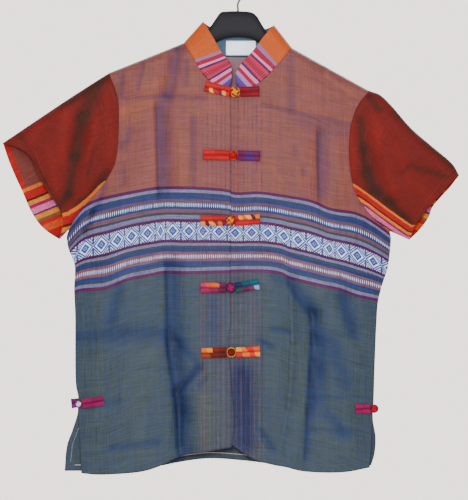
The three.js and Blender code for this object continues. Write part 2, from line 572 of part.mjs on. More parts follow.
function collarBack(neck, topEdge) {
  const tops = along(topEdge, HALF_NECK_COLUMNS, TURN);
  return neck.map((point, k) => collarPost(point, backY(point.x, point.z), tops[k])).slice(1);
}

// Seen from outside the band runs from the left front's end to the right, round the back.
const leftHalf = collarFront(COLLAR_LEFT, NECK_LEFT, frontLeftY).reverse();
const rightHalf = collarFront(COLLAR_RIGHT, NECK_RIGHT, frontRightY);
const backHalfLeft = collarBack(backNeckLeft, COLLAR_TOP_BACK_LEFT);
const backHalfRight = collarBack(backNeckRight, COLLAR_TOP_BACK_RIGHT).slice(0, -1).reverse();
const collarLoop = [...leftHalf, ...backHalfLeft, ...backHalfRight, ...rightHalf].reverse();

function collarGrid(foot) {
  const rows = [];
  for (let i = 0; i <= COLLAR_ROWS; i++) {
    rows.push(collarLoop.map(({ seam, top }) => {
      const rise = top.clone().sub(seam).normalize();
      return top.clone().lerp(seam.clone().addScaledVector(rise, foot), i / COLLAR_ROWS);
    }));
  }
  return rows;
}

function collarPly(name, foot, outside, finish) {
  const grid = collarGrid(foot);
  add(name, wall(grid, normalsOf(grid), outside, outside - COLLAR_PLY), finish);
}

collarPly('collar', TURNED_SEAM, CLOTH / 2, 'orange');
collarPly('collar_facing', FACING_FOOT, CLOTH / 2 - COLLAR_PLY - PLY_GAP, 'teal');

// ---- label ----------------------------------------------------------------------------------------
// A blank white tag sewn in at the back neck, flat against the inside of the collar.
const backNeckLow = NECK_BACK_LEFT[NECK_BACK_LEFT.length - 1].z;
const collarTopLow = COLLAR_TOP_BACK_LEFT[COLLAR_TOP_BACK_LEFT.length - 1].z;
const insideCollar = 2 * COLLAR_PLY + PLY_GAP - CLOTH / 2 + LABEL.lift;
const labelGrid = [LABEL.top, LABEL.bottom].map((z) => {
  const lean = 1 - (1 - COLLAR_LEAN) * ((z - backNeckLow) / (collarTopLow - backNeckLow));
  const row = [];
  for (let j = 0; j <= LABEL.columns; j++) {
    const x = THREE.MathUtils.lerp(LABEL.left, LABEL.right, j / LABEL.columns);
    row.push(new THREE.Vector3(x, backY(x, backNeckLow) * lean - insideCollar, z));
  }
  return row;
});
add('label', wall(labelGrid, normalsOf(labelGrid), LABEL.thick, 0), 'white');

// ---- frog fastenings ------------------------------------------------------------------------------
// Section of a tab, a strip folded into two cords side by side: how far across and how far out.
const TAB_SECTION = [
  { across: -1, out: 0.3 }, { across: -0.75, out: 0.95 }, { across: -0.3, out: 0.95 },
  { across: 0, out: 0.5 }, { across: 0.3, out: 0.95 }, { across: 0.75, out: 0.95 },
  { across: 1, out: 0.3 }, { across: 0.9, out: 0 }, { across: 0, out: 0 }, { across: -0.9, out: 0 },
];

// A tab made from the cloth's own points, moved out: facing -1 lies on the front and 1 on the back.
// It climbs by the given heights at its two ends, where it meets a knot.
function tab(name, from, to, size, height, facing, climb = [0, 0]) {
  const length = Math.hypot(to.x - from.x, to.z - from.z);
  const unit = { x: (to.x - from.x) / length, z: (to.z - from.z) / length };
  const rings = [];
  for (let k = 0; k <= size.steps; k++) {
    const share = k / size.steps;
    const end = k === 0 || k === size.steps ? size.end : 1;
    const climbed = climb[0] * (1 - share) ** 4 + climb[1] * share ** 4;
    const centre = { x: from.x + unit.x * length * share, z: from.z + unit.z * length * share };
    rings.push(TAB_SECTION.map(({ across, out }) => {
      const x = centre.x - unit.z * across * size.half * end;
      const z = centre.z + unit.x * across * size.half * end;
      const lift = CLOTH / 2 + size.lift + out * size.thick * end + climbed;
      return new THREE.Vector3(x, height(x, z) + facing * lift, z);
    }));
  }
  add(name, loft(facing < 0 ? rings : rings.reverse()), 'cord');
}

function knot(name, x, y, z, radius) {
  const ball = new THREE.SphereGeometry(radius, KNOT.around, KNOT.down);
  ball.scale(1, KNOT.flat, 1);
  add(name, ball, 'cord').position.set(x, y, z);
}

for (const frog of FROGS) {
  const clear = frog.radius + SEAM;
  const left = { x: frog.left, z: frog.leftZ };
  const right = { x: frog.right, z: frog.rightZ };
  const beside = (x) => ({ x, z: frog.knotZ });
  tab(`${frog.name}_left`, left, beside(frog.knot - clear), TAB, frontLeftY, -1, [0, KNOT.climb]);
  tab(`${frog.name}_right`, beside(frog.knot + clear), right, TAB, frontRightY, -1,
    [KNOT.climb + TUCK.depth, 0]);
  const rest = CLOTH / 2 + 2 * SEAM + frog.radius * KNOT.flat;
  knot(`${frog.name}_knot`, frog.knot, frontLeftY(frog.knot, frog.knotZ) - rest, frog.knotZ, frog.radius);
}

for (const vent of VENTS) {
  const front = vent.way < 0 ? frontLeftY : frontRightY;
  const inner = { x: vent.inner, z: vent.innerZ };
  const beside = { x: vent.knot - vent.way * (vent.radius + SEAM), z: vent.z };
  if (vent.way < 0) tab(`${vent.name}_front`, beside, inner, SIDE_TAB, front, -1, [KNOT.climb, 0]);
  else tab(`${vent.name}_front`, inner, beside, SIDE_TAB, front, -1, [0, KNOT.climb]);
  if (vent.edge !== null) {
    const past = { x: vent.edge + vent.way * vent.radius, z: vent.z };
    tab(`${vent.name}_back`, inner, past, SIDE_TAB, backY, 1);
  }
  const rest = CLOTH / 2 + 2 * SEAM + vent.radius * KNOT.flat;
  const y = front(vent.knot - vent.way * vent.radius, vent.z) - rest;
  knot(`${vent.name}_knot`, vent.knot, y, vent.z, vent.radius);
}

// ---- hanger ----------------------------------------------------------------------------------------
// A moulded arm: rounded sections from one shoulder to the other, its top just under the seams.
const HANGER_SECTION = [];
for (let k = 0; k < ARM_SIDES; k++) {
  const angle = (2 * Math.PI * (k + 0.5)) / ARM_SIDES;
  const squared = (value) => Math.sign(value) * Math.abs(value) ** ARM_SQUARENESS;
  HANGER_SECTION.push({ out: squared(Math.sin(angle)), up: squared(Math.cos(angle)) });
}
const hangerRings = HANGER.map(({ x, top, bottom, deep }) => {
  const high = top ?? shoulderHeight(x) - ARM_CLEARANCE;
  const middle = (high + bottom) / 2;
  const half = (high - bottom) / 2;
  return HANGER_SECTION.map(({ out, up }) => new THREE.Vector3(x, out * deep, middle + up * half));
});

const wasm = await Module();
wasm.setup();

function toSolid(geometry) {
  const bare = geometry.clone();
  bare.deleteAttribute('normal');
  bare.deleteAttribute('uv');
  const merged = mergeVertices(bare);
  return new wasm.Manifold(new wasm.Mesh({
    numProp: 3,
    vertProperties: new Float32Array(merged.attributes.position.array),
    triVerts: new Uint32Array(merged.index.array),
  }));
}

// The socket that the hook is pressed into.
const bore = HOOK.radius + SEAM;
const socket = new THREE.CylinderGeometry(bore, bore, 2 * HOOK.socket, HOOK.socketSides);
socket.rotateX(Math.PI / 2).translate(HOOK.stem, 0, HANGER.find(({ x }) => x === 0).top);
const drilled = toSolid(loft(hangerRings)).subtract(toSolid(socket)).getMesh();
add('hanger_body', solid(Array.from(drilled.vertProperties), Array.from(drilled.triVerts)), 'plastic');

// The hook: a wire that rises from its socket, swings out and comes back over the rod.
const crookCentre = -HOOK.crook + HOOK.radius;
const wirePath = [HOOK.foot, HOOK.neck, HOOK.bend].map((z) => new THREE.Vector3(HOOK.stem, 0, z));
for (let angle = HOOK.firstAngle; angle <= HOOK.lastAngle; angle += HOOK.step) {
  const turn = THREE.MathUtils.degToRad(angle);
  wirePath.push(new THREE.Vector3(HOOK.crook * Math.cos(turn), 0, crookCentre + HOOK.crook * Math.sin(turn)));
}
const wireSection = new THREE.Shape().absarc(0, 0, HOOK.radius, 0, 2 * Math.PI);
add('hanger_hook', new THREE.ExtrudeGeometry(wireSection, {
  steps: HOOK.rings, curveSegments: HOOK.quarters, bevelEnabled: false,
  extrudePath: new THREE.CatmullRomCurve3(wirePath, false, 'centripetal'),
}), 'steel');

export default group;
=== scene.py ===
"""A short-sleeved silk shirt with a stand collar and frog fastenings, hanging on a moulded hanger.

Pieces are drawn in millimetres in the frame of the solids, and turned to metres when their meshes
are made. +Z is up, the front faces -Y, and left and right are the viewer's, facing the front.
"""
import math

import bpy
import numpy as np
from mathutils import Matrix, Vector


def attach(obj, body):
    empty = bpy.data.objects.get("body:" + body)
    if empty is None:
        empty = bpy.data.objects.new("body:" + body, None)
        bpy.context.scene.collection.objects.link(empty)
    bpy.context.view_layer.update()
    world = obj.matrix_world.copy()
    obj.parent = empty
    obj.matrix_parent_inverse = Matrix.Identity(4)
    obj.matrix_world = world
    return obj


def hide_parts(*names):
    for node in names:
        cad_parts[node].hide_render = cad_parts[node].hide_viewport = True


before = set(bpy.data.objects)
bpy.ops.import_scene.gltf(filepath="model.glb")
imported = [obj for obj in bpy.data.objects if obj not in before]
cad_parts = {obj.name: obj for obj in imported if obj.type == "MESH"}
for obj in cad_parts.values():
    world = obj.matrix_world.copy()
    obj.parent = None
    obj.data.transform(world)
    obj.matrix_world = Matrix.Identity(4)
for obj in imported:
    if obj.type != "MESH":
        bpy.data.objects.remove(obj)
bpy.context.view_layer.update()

MM, PER_METRE = 0.001, 1000

# ---- studio ---------------------------------------------------------------------------------------
# The camera stands six metres in front, level with the middle of the shirt. Soft lights and a pale
# world light it evenly, over a plain pale floor.
view_centre = Vector((-0.0056, -0.012, -0.4574))
view_height, view_distance, sensor = 0.8, 6.0, 24.0


def new_object(name, data):
    """An object in the scene that shows a camera, a lamp or a mesh."""
    shown = bpy.data.objects.new(name, data)
    bpy.context.scene.collection.objects.link(shown)
    return shown


camera = new_object("camera", bpy.data.cameras.new("camera"))
camera.location = view_centre + Vector((0, -view_distance, 0))
camera.rotation_euler = (math.radians(90), 0, 0)
camera.data.sensor_fit = "VERTICAL"
camera.data.sensor_height = sensor
camera.data.lens = sensor * view_distance / view_height
bpy.context.scene.camera = camera

for name, place, size, power, tint in (
    ("key_light", (-1.1, -2.3, 1.0), 1.1, 38, (0.90, 0.95, 1.0)),
    ("front_light", (-0.1, -3.4, -0.1), 0.5, 120, (0.89, 0.94, 1.0)),
    ("fill_light", (1.5, -2.0, -0.2), 1.6, 20, (0.82, 0.90, 1.0)),
    ("back_light", (0.3, 2.2, 0.8), 1.6, 42, (0.88, 0.94, 1.0)),
):
    lamp = bpy.data.lights.new(name, "AREA")
    lamp.energy, lamp.size, lamp.color = power, size, tint
    lamp_object = new_object(name, lamp)
    lamp_object.location = place
    lamp_object.rotation_euler = (view_centre - Vector(place)).to_track_quat("-Z", "Y").to_euler()

# The pale room lights the shirt softly, and is itself brighter, as a lit wall behind it would be.
ROOM_COLOUR, ROOM_LIGHT = (0.98, 0.98, 1.0, 1), 1.2
SEEN_COLOUR, ROOM_SEEN = (1.0, 0.92, 0.84, 1), 2.5
world = bpy.data.worlds.new("pale_room")
world.use_nodes = True
room = world.node_tree.nodes["Background"]


def linear(code):
    """A colour written as the eye sees it, turned to the light values that shaders take."""
    values = [int(code[k:k + 2], 16) / 255 for k in (0, 2, 4)]
    return tuple(v / 12.92 if v < 0.04045 else ((v + 0.055) / 1.055) ** 2.4 for v in values) + (1,)


class Shade:
    """A node's output: sums, products and comparisons with it add Math nodes to its tree."""

    def __init__(self, tree, socket):
        self.tree, self.socket = tree, socket

    def math(self, operation, *values):
        return add_node(self.tree, "ShaderNodeMath", {"operation": operation}, values)

    def __add__(self, other):
        return self.math("ADD", self, other)

    def __sub__(self, other):
        return self.math("SUBTRACT", self, other)

    def __rsub__(self, other):
        return self.math("SUBTRACT", other, self)

    def __mul__(self, other):
        return self.math("MULTIPLY", self, other)

    def __truediv__(self, other):
        return self.math("DIVIDE", self, other)

    def __gt__(self, other):
        return self.math("GREATER_THAN", self, other)

    def __lt__(self, other):
        return self.math("LESS_THAN", self, other)

    def __abs__(self):
        return self.math("ABSOLUTE", self)

    def __mod__(self, other):
        return self.math("FLOORED_MODULO", self, other)

    __radd__, __rmul__ = __add__, __mul__


def add_node(tree, kind, settings=None, values=(), output=0):
    """A node of any kind: its settings first, then the values or links of its sockets."""
    node = tree.nodes.new(kind)
    for key, value in (settings or {}).items():
        setattr(node, key, value)
    pairs = values.items() if isinstance(values, dict) else enumerate(values)
    for key, value in pairs:
        if isinstance(value, Shade):
            tree.links.new(value.socket, node.inputs[key])
        else:
            node.inputs[key].default_value = value
    return Shade(tree, node.outputs[output])


def mix(tree, factor, first, second, blend="MIX"):
    """Two colours mixed by a factor."""
    settings = {"data_type": "RGBA", "blend_type": blend, "clamp_factor": True}
    return add_node(tree, "ShaderNodeMix", settings, {0: factor, 6: first, 7: second}, 2)


def solid_place(tree):
    """The place in a piece's own space, in metres."""
    return add_node(tree, "ShaderNodeTexCoord", output=3)


def new_finish(name, **fixed):
    """A material, its tree and its main shader, with the values that are the same all over set on it."""
    material = bpy.data.materials.new(name)
    material.use_nodes = True
    tree = material.node_tree
    shader = tree.nodes["Principled BSDF"]
    for key, value in fixed.items():
        shader.inputs[key.replace("_", " ").title().replace("Ior", "IOR")].default_value = value
    return material, tree, shader


def noise(tree, vector, scale, detail=2.0, roughness=0.5):
    """Smooth noise from 0 to 1 about one half."""
    return add_node(tree, "ShaderNodeTexNoise", {},
                    {"Vector": vector, "Scale": scale, "Detail": detail, "Roughness": roughness})


seen = add_node(world.node_tree, "ShaderNodeLightPath")
for result, key in ((seen * (ROOM_SEEN - ROOM_LIGHT) + ROOM_LIGHT, "Strength"),
                    (mix(world.node_tree, seen, ROOM_COLOUR, SEEN_COLOUR), "Color")):
    world.node_tree.links.new(result.socket, room.inputs[key])
bpy.context.scene.world = world

floor_reach, floor_height = 3.0, -1.7
floor_mesh = bpy.data.meshes.new("floor")
floor_mesh.from_pydata([(x * floor_reach, y * floor_reach, floor_height)
                        for x, y in ((-1, -1), (1, -1), (1, 1), (-1, 1))], [], [(0, 1, 2, 3)])
floor = new_object("floor", floor_mesh)
floor_paint, floor_tree, floor_shader = new_finish("floor_paint", roughness=0.7)
floor_cloud = noise(floor_tree, solid_place(floor_tree), 3.0)
floor_colour = mix(floor_tree, floor_cloud, linear("dcd8d2"), linear("e2dfda"))
floor_tree.links.new(floor_colour.socket, floor_shader.inputs["Base Color"])
floor_mesh.materials.append(floor_paint)

# ---- body cloth: shape ----------------------------------------------------------------------------
# Two fronts and a back of shot silk, cut from one width with a woven band across the chest. They are
# sewn at the shoulders and sides, open below the side vents, and hang from the hanger's arm.
CLOTH, SEAM = 1.0, 0.3
# How far below the shoulder, and in from the sides, the cloth comes to its full depth and its folds.
SHOULDER_DROP, SIDE_SPREAD, SIDE_PLAIN = 14, 90, 30
# How far the right front lies behind the left one, and the x where it does so fully and not at all.
TUCK_DEPTH, TUCK_FULL, TUCK_NONE = 2.6, -8, 14
# How much the fine creases are deepened, and the most that the colours turn where they cross.
CREASE, TURN_MOST = 1.5, 1.2

NECK_LEFT = [(-84, -125.4), (-68, -153.4), (-60, -166.2), (-52, -179.5), (-39.2, -191),
             (-24.8, -196.6), (-13.6, -198.2)]
NECK_RIGHT = [(84.8, -132.6), (69.6, -153.4), (55.2, -167.8), (39.2, -184.5), (29.6, -192.6),
              (16.8, -198.2), (4, -200.6)]
NECK_BACK_LEFT = [(-84, -125.4), (-60, -137.5), (-32, -144), (0, -146.2)]
NECK_BACK_RIGHT = [(84.8, -132.6), (64, -140.5), (36, -145), (0, -146.2)]
CENTRE_LEFT = [(-13.6, -198.2), (-11.5, -215), (-11.7, -529), (-11, -571), (-14.4, -603),
               (-9.6, -670), (-5, -725), (-8.8, -772.3)]
CENTRE_RIGHT = [(4, -200.6), (-12, -214), (-25, -245), (-26, -400), (-26, -600), (-24, -762)]
ARMHOLE_LEFT = [(-205.6, -174.2), (-191.2, -215.8), (-189.9, -251), (-191.2, -287), (-196, -318.2),
                (-205.5, -338), (-217.5, -356), (-233, -373), (-248, -390), (-261, -408),
                (-269.5, -424)]
ARMHOLE_RIGHT = [(211.4, -203), (196, -220.6), (184.5, -246.2), (179.4, -274.4), (178.4, -302.2),
                 (181.6, -338), (188, -363.6), (197, -380), (208, -395.5), (221, -409.5),
                 (235, -421), (243.5, -427)]
SIDE_LEFT = [(-269.5, -424), (-273.5, -436), (-270.7, -455.3), (-261, -480), (-261.6, -521.4),
             (-260, -560), (-258.7, -674.4), (-255.2, -692.1), (-255.7, -717.7), (-253.1, -763.6),
             (-249.9, -814.7)]
SIDE_RIGHT = [(243.5, -427), (245.6, -437), (244.5, -457.4), (240.5, -486), (231.7, -513.4),
              (225.3, -539), (222.7, -572.6), (220, -636), (217.8, -702.2), (216, -728),
              (214.5, -765), (211.4, -805.7)]
SIDE_BACK_LEFT = SIDE_LEFT[:8] + [(-255.7, -716), (-264, -744), (-273.5, -771), (-277.6, -812)]
SIDE_BACK_RIGHT = SIDE_RIGHT[:9] + [(217, -728), (221.6, -758), (220, -783.8), (214.5, -803)]
HEM_LEFT = [(-249.9, -814.7), (-226.9, -816.8), (-181, -814.7), (-150.4, -811), (-124.8, -803),
            (-96.8, -789.5), (-73.8, -783), (-48.3, -779.5), (-8.8, -772.3)]
HEM_RIGHT = [(-24, -762), (-8, -769.4), (5.6, -779), (26.4, -792), (56.8, -800.8), (77.6, -804.6),
             (104, -811), (170.4, -812.6), (211.4, -805.7)]
HEM_BACK = [(214.5, -803), (132, -807), (56.8, -801.5), (11.4, -796.2), (-44, -792.6),
            (-82, -796.5), (-100, -799.6), (-124, -804.5), (-188, -811), (-277.6, -812)]

# Height, and how far the cloth stands before and behind the side seams' plane, and at its sides.
DEPTH = [(-816, 22, 20, 8), (-720, 24, 20, 0.8), (-600, 25, 20, 0.8), (-430, 25, 20, 0.8),
         (-385, 25, 20, 6), (-320, 25, 20, 11), (-200, 23, 18, 12), (-146, 18, 16, 12),
         (-120, 14, 14, 12)]

# Creases: from x, z to x, z, half width on the left and right of that way, rise, and how far the
# shot colours turn there: 1 is the cool, dark colour of painted shade in a hollow, -1 the warm colour of
# painted light on a ridge.
FRONT_FOLDS = [
    (-97, -137, -113, -210, 13, 13, -4, 0), (-122, -240, -120, -355, 16, 16, -4, 0),
    (-150, -160, -162, -200, 12, 12, 3, 0), (-106, -490, -98, -640, 15, 15, -5, 0),
    (-96, -660, -88, -800, 16, 16, -6, 0), (-240, -597, -140, -597, 16, 16, -2.5, 0),
    (137, -175, 192, -215, 14, 14, -3, 0), (136, -275, 132, -372, 14, 14, -4, 0),
    (8, -670, 8, -770, 16, 16, -7, 0), (84, -500, 84, -690, 13, 13, 4, 0),
    (118, -560, 134, -700, 16, 16, -5, 0), (128, -720, 118, -800, 16, 16, -4, 0),
    (-60, -700, -52, -780, 16, 16, 3, 0), (180, -540, 196, -600, 14, 14, -3, 0),
]
BACK_FOLDS = [
    (-140, -240, -118, -420, 18, 18, -4, 0.5), (120, -230, 142, -400, 16, 16, -4, 0.5),
    (-20, -420, -34, -640, 20, 20, -5, 0.8), (60, -560, 72, -790, 18, 18, -5, 0.8),
    (-130, -600, -146, -800, 18, 18, -5, 0.8), (150, -520, 160, -700, 16, 16, 3, -0.4),
]
FRONT_CREASES = [
    (-94, -131, -112, -214, 10, 10, -1.5, 0.75), (-129, -237, -126, -358, 19, 3, -2, 1),
    (-71, -246, -70, -352, 5, 5, -1, 0.6), (-150, -160, -159, -200, 3, 5, -1.2, 0.55),
    (-186, -181, -186, -211, 5, 5, -1, 0.6), (-182, -216, -114, -211, 3, 3, -0.8, 0.5),
    (-114, -211, -52, -214, 3, 3, -0.8, 0.5), (-172, -267, -185, -294, 8, 8, -1, 0.5),
    (-182, -321, -182, -350, 5, 5, -0.8, 0.5), (-140, -224, -185, -237, 10, 10, 1.2, -0.39),
    (-108, -182, -145, -201, 11, 8, 1, -0.33), (-90, -265, -90, -353, 6, 6, 0.6, -0.23),
    (-82, -157, -82, -192, 4, 5, -0.8, 0.5), (-39, -230, -60, -237, 10, 10, 0.4, -0.2),
    (142, -176, 191, -213, 4, 4, 1.5, -0.45), (132, -166, 180, -201, 5, 5, -0.8, 0.2),
    (128, -280, 129, -365, 14, 2, -2, 0.95), (86, -149, 86, -237, 6, 6, -0.8, 0.45),
    (38, -221, 183, -251, 2, 2, -0.9, -0.26), (39, -225, 183, -257, 3, 3, 0.6, 0.45),
    (100, -251, 175, -267, 10, 13, -0.5, 0.35), (92, -297, 106, -333, 6, 6, -0.8, 0.4),
    (52, -321, 74, -353, 6, 6, 0.6, -0.26), (100, -310, 100, -355, 6, 5, 0.6, -0.23),
    (158, -297, 174, -361, 10, 10, 0.6, -0.2),
    (-113, -486, -111, -609, 19, 3, -2.5, 1), (-111, -609, -97, -713, 19, 4, -2.5, 1),
    (-97, -713, -92, -789, 19, 4, -2.5, 0.9), (-62, -648, -98, -686, 4, 7, -2.6, 1.2),
    (-190, -515, -202, -573, 10, 10, -1.2, 0.65), (-257, -598, -124, -594, 15, 11, -0.8, 0.75),
    (-38, -534, -38, -601, 13, 13, -0.6, 0.5), (5, -654, 9, -769, 18, 11, -3.5, 1.2),
    (82, -513, 118, -560, 13, 6, -2.2, 1), (118, -560, 119, -600, 11, 4, -2, 0.8),
    (119, -606, 116, -650, 22, 3, -1.8, 0.95), (116, -656, 113, -704, 24, 3, -1.8, 0.9),
    (112, -712, 109, -785, 9, 3, -1.5, 0.8), (150, -606, 174, -670, 15, 15, -0.6, 0.65),
    (146, -722, 172, -750, 10, 10, -0.8, 0.7), (-204, -774, -130, -766, 6, 6, -0.6, 0.6),
    (-236, -706, -190, -700, 5, 7, -0.5, 0.4),
    (167, -534, 185, -587, 13, 10, -1.5, 0.85), (58, -499, 68, -510, 6, 6, -0.6, 0.5),
    (35, -605, 54, -613, 5, 3, -1.5, 0.7), (58, -585, 81, -590, 5, 3, -1.5, 0.7),
    (35, -745, 55, -776, 6, 6, -1.5, 0.7), (-220, -537, -226, -729, 14, 14, 0.8, -0.16),
    (-156, -617, -159, -761, 16, 13, 0.8, -0.13), (-47, -633, -50, -761, 11, 11, 1, -0.13),
    (100, -617, 100, -729, 8, 10, 0.8, -0.16), (183, -609, 180, -777, 13, 13, 0.8, -0.13),
    (49, -518, 42, -585, 8, 8, 0.6, -0.16), (148, -505, 129, -537, 8, 8, 0.6, -0.2),
    (84, -501, 88, -603, 4, 3, 1.8, -0.13), (88, -603, 85, -662, 4, 3, 1.8, -0.13),
    (85, -662, 81, -707, 4, 3, 1.6, -0.13), (81, -707, 68, -774, 4, 3, 1.4, -0.13),
    (116, -693, 193, -693, 3, 6, -0.5, 0.3), (116, -745, 193, -745, 3, 8, -0.5, 0.35),
    (38.5, -512, 37, -762, 1.5, 2, 0.9, -0.1), (41.5, -512, 40, -762, 1.5, 2, -0.9, 0.35),
    (-50, -664, -62, -676, 2, 3, -1.6, 0.6), (-93, -690, -94, -770, 6, 6, -1.8, 0.6),
    (-98, -604, -66, -640, 9, 6, -1, 0.5), (-50, -706, -46, -768, 20, 20, 0.5, -0.4),
    (-214, -355, -233, -397, 6, 3, -3, 0.6), (-233, -397, -246, -427, 6, 3, -3, 0.6),
    (-246, -427, -268, -446, 6, 3, -2.5, 0.5),
]
BACK_CREASES = [
    (-150, -150, -120, -300, 8, 14, -1.6, 0.7), (-60, -165, -46, -330, 6, 10, -1.2, 0.6),
    (30, -160, 24, -300, 10, 6, -1.2, 0.5), (110, -170, 136, -330, 12, 4, -1.8, 0.8),
    (168, -210, 150, -330, 5, 8, -1, 0.5), (-180, -215, 170, -228, 3, 3, -0.8, 0.45),
    (-170, -260, -150, -350, 8, 8, 0.8, -0.5), (70, -240, 60, -350, 9, 9, 0.8, -0.45),
    (-90, -505, -100, -700, 4, 16, -2.2, 1), (-100, -700, -92, -790, 5, 15, -2, 0.9),
    (20, -520, 34, -680, 14, 5, -2, 0.85), (110, -540, 122, -700, 4, 14, -2, 0.9),
    (180, -560, 170, -700, 10, 10, -1.4, 0.7), (-200, -560, -190, -690, 12, 9, -1.4, 0.7),
    (-210, -640, 190, -652, 3, 5, -0.7, 0.4), (-20, -600, -10, -770, 10, 12, 0.9, -0.5),
    (-230, -400, -180, -450, 5, 8, -2, 0.5), (215, -420, 160, -470, 8, 5, -2, 0.5),
]


def unit(vectors):
    """Vectors made one long."""
    return vectors / np.linalg.norm(vectors, axis=-1, keepdims=True)


def run_of(line):
    """How far each point of a line lies along it."""
    return np.concatenate([[0], np.cumsum(np.linalg.norm(np.diff(line, axis=0), axis=1))])


def points_at(line, places):
    """The points of a line at given distances along it."""
    run = run_of(line)
    return np.stack([np.interp(places, run, column) for column in line.T], axis=1)


def eased(share):
    """A share from 0 to 1 that starts and ends softly."""
    return share * share * (3 - 2 * share)


def spline(points, fine=20):
    """A smooth line through the points of a table, drawn with fine steps."""
    knots = np.array(points, float)
    knots = np.vstack([2 * knots[0] - knots[1], knots, 2 * knots[-1] - knots[-2]])
    line = [knots[1:2]]
    step = np.linspace(0, 1, fine + 1)[1:, None]
    for before, start, end, after in zip(knots[:-3], knots[1:-2], knots[2:-1], knots[3:]):
        a, b, c = (np.linalg.norm(q - p) ** 0.5 for p, q in
                   ((before, start), (start, end), (end, after)))
        leave = ((start - before) / a - (end - before) / (a + b) + (end - start) / b) * b
        arrive = ((end - start) / b - (after - start) / (b + c) + (after - end) / c) * b
        line.append((2 * step**3 - 3 * step**2 + 1) * start + (step**3 - 2 * step**2 + step) * leave
                    + (3 * step**2 - 2 * step**3) * end + (step**3 - step**2) * arrive)
    return np.vstack(line)


def along(points, count):
    """Evenly spaced points on the smooth line through a table."""
    line = spline(points)
    return points_at(line, np.linspace(0, run_of(line)[-1], count + 1))


def patch(left, right, top, bottom):
    """Rows of points that fill the outline between two side edges, a top and a bottom."""
    down, across = ((run_of(one) / run_of(one)[-1] + run_of(other) / run_of(other)[-1]) / 2
                    for one, other in ((left, right), (top, bottom)))
    v, u = down[:, None, None], across[None, :, None]
    sides = (1 - u) * left[:, None] + u * right[:, None]
    ends = (1 - v) * top[None] + v * bottom[None]
    corners = ((1 - u) * (1 - v) * left[0] + u * (1 - v) * right[0]
               + (1 - u) * v * left[-1] + u * v * right[-1])
    return sides + ends - corners


def smooth_table(table, at, column):
    """A column of a table at a height, eased from row to row."""
    heights = np.array([row[0] for row in table], float)
    values = np.array([row[column] for row in table], float)
    k = np.clip(np.searchsorted(heights, at, "right"), 1, len(heights) - 1)
    share = np.clip((at - heights[k - 1]) / (heights[k] - heights[k - 1]), 0, 1)
    return values[k - 1] + (values[k] - values[k - 1]) * eased(share)


def edge_at(table, z):
    """Where an edge lies at a height."""
    rows = np.array(sorted((p[1], p[0]) for p in table))
    return np.interp(z, rows[:, 0], rows[:, 1])


def shoulder_height(x):
    """The height of the shoulder seams, which run straight from the neck to the armholes."""
    left, right = (z0 + (x - x0) * ((z1 - z0) / (x1 - x0)) for (x0, z0), (x1, z1) in
                   ((NECK_LEFT[0], ARMHOLE_LEFT[0]), (NECK_RIGHT[0], ARMHOLE_RIGHT[0])))
    return np.where(x < 0, left, right)


def creased(table, x, z):
    """The rise and the turn of colour that a table of creases gives at each place: the turn paints shade
    in hollows and light on ridges.
    """
    rise, turn = np.zeros(np.shape(x)), np.zeros(np.shape(x))
    for x0, z0, x1, z1, wide_left, wide_right, height, colour in table:
        length = math.hypot(x1 - x0, z1 - z0)
        way_x, way_z = (x1 - x0) / length, (z1 - z0) / length
        run = (x - x0) * way_x + (z - z0) * way_z
        side = (x - x0) * -way_z + (z - z0) * way_x
        past = run - np.clip(run, 0, length)
        wide = np.where(side > 0, wide_left, wide_right)
        reach = np.exp(-(side / wide) ** 2 - (past / max(wide_left, wide_right)) ** 2)
        rise = rise + height * reach
        turn = turn + colour * reach
    return rise, turn


def body_depth(side, x, z):
    """How far the cloth lies from the plane of the seams, and its turn of colour, which paints shade in
    hollows and light on ridges.
    """
    drop = np.clip((shoulder_height(x) - z) / SHOULDER_DROP, 0, 1)
    turned = np.sqrt(1 - (1 - drop) ** 2)
    inside = np.clip(np.minimum(x - edge_at(ARMHOLE_LEFT + SIDE_LEFT[1:], z),
                                edge_at(ARMHOLE_RIGHT + SIDE_RIGHT[1:], z) - x), 0, None)
    swell = 1 - (1 - np.minimum(1, inside / SIDE_SPREAD)) ** 2
    column, large, small = {"front": (1, FRONT_FOLDS, FRONT_CREASES),
                            "back": (2, BACK_FOLDS, BACK_CREASES)}[side]
    edge, middle = smooth_table(DEPTH, z, 3), smooth_table(DEPTH, z, column)
    folds, fold_turn = creased(large, x, z)
    fine, fine_turn = creased(small, x, z)
    fade = np.minimum(1, inside / SIDE_PLAIN)
    depth = SEAM / 2 + turned * (edge + (middle - edge) * swell + (folds + fine * CREASE) * fade)
    return np.maximum(depth, SEAM + CLOTH / 2), fold_turn + fine_turn


def front_left_y(x, z):
    """Where the left front lies, at places given by their x and z."""
    return -body_depth("front", x, z)[0]


def front_right_y(x, z):
    """The right front lies behind the left one at the centre, and comes level beside it."""
    share = np.clip((np.asarray(x) - TUCK_FULL) / (TUCK_NONE - TUCK_FULL), 0, 1)
    return -body_depth("front", x, z)[0] + TUCK_DEPTH * (1 - eased(share))


def back_y(x, z):
    """Where the back lies, at places given by their x and z."""
    return body_depth("back", x, z)[0]


# The band's upper and lower edge across the shirt, in millimetres, on each front and on the back.
BAND_TALL = 137.6
BAND = {
    "front_left": ([(-274, -422), (-246, -387), (-226, -376), (-212, -372), (-174, -364),
                    (-128, -356.5), (-76, -356), (-27, -359), (-8, -362)],
                   [(-274, -536), (-258, -526), (-211, -521), (-174, -507), (-137, -499.5),
                    (-119, -496), (-82, -496.5), (-27, -495), (2, -494)]),
    "front_right": ([(-20, -361), (-2, -365), (35, -364), (72, -369), (109, -375), (125, -380),
                     (145, -389), (164, -393), (182, -395), (200, -401), (220, -413), (247, -433)],
                    [(-20, -494), (17, -493), (50, -494), (72, -498), (82, -503.5), (109, -511),
                     (136, -517), (164, -523), (191, -533), (224, -540), (247, -547)]),
    "back": ([(-274, -400), (-120, -366), (0, -360), (120, -368), (247, -404)],
             [(-274, -536), (-120, -502), (0, -497), (120, -504), (247, -540)]),
}
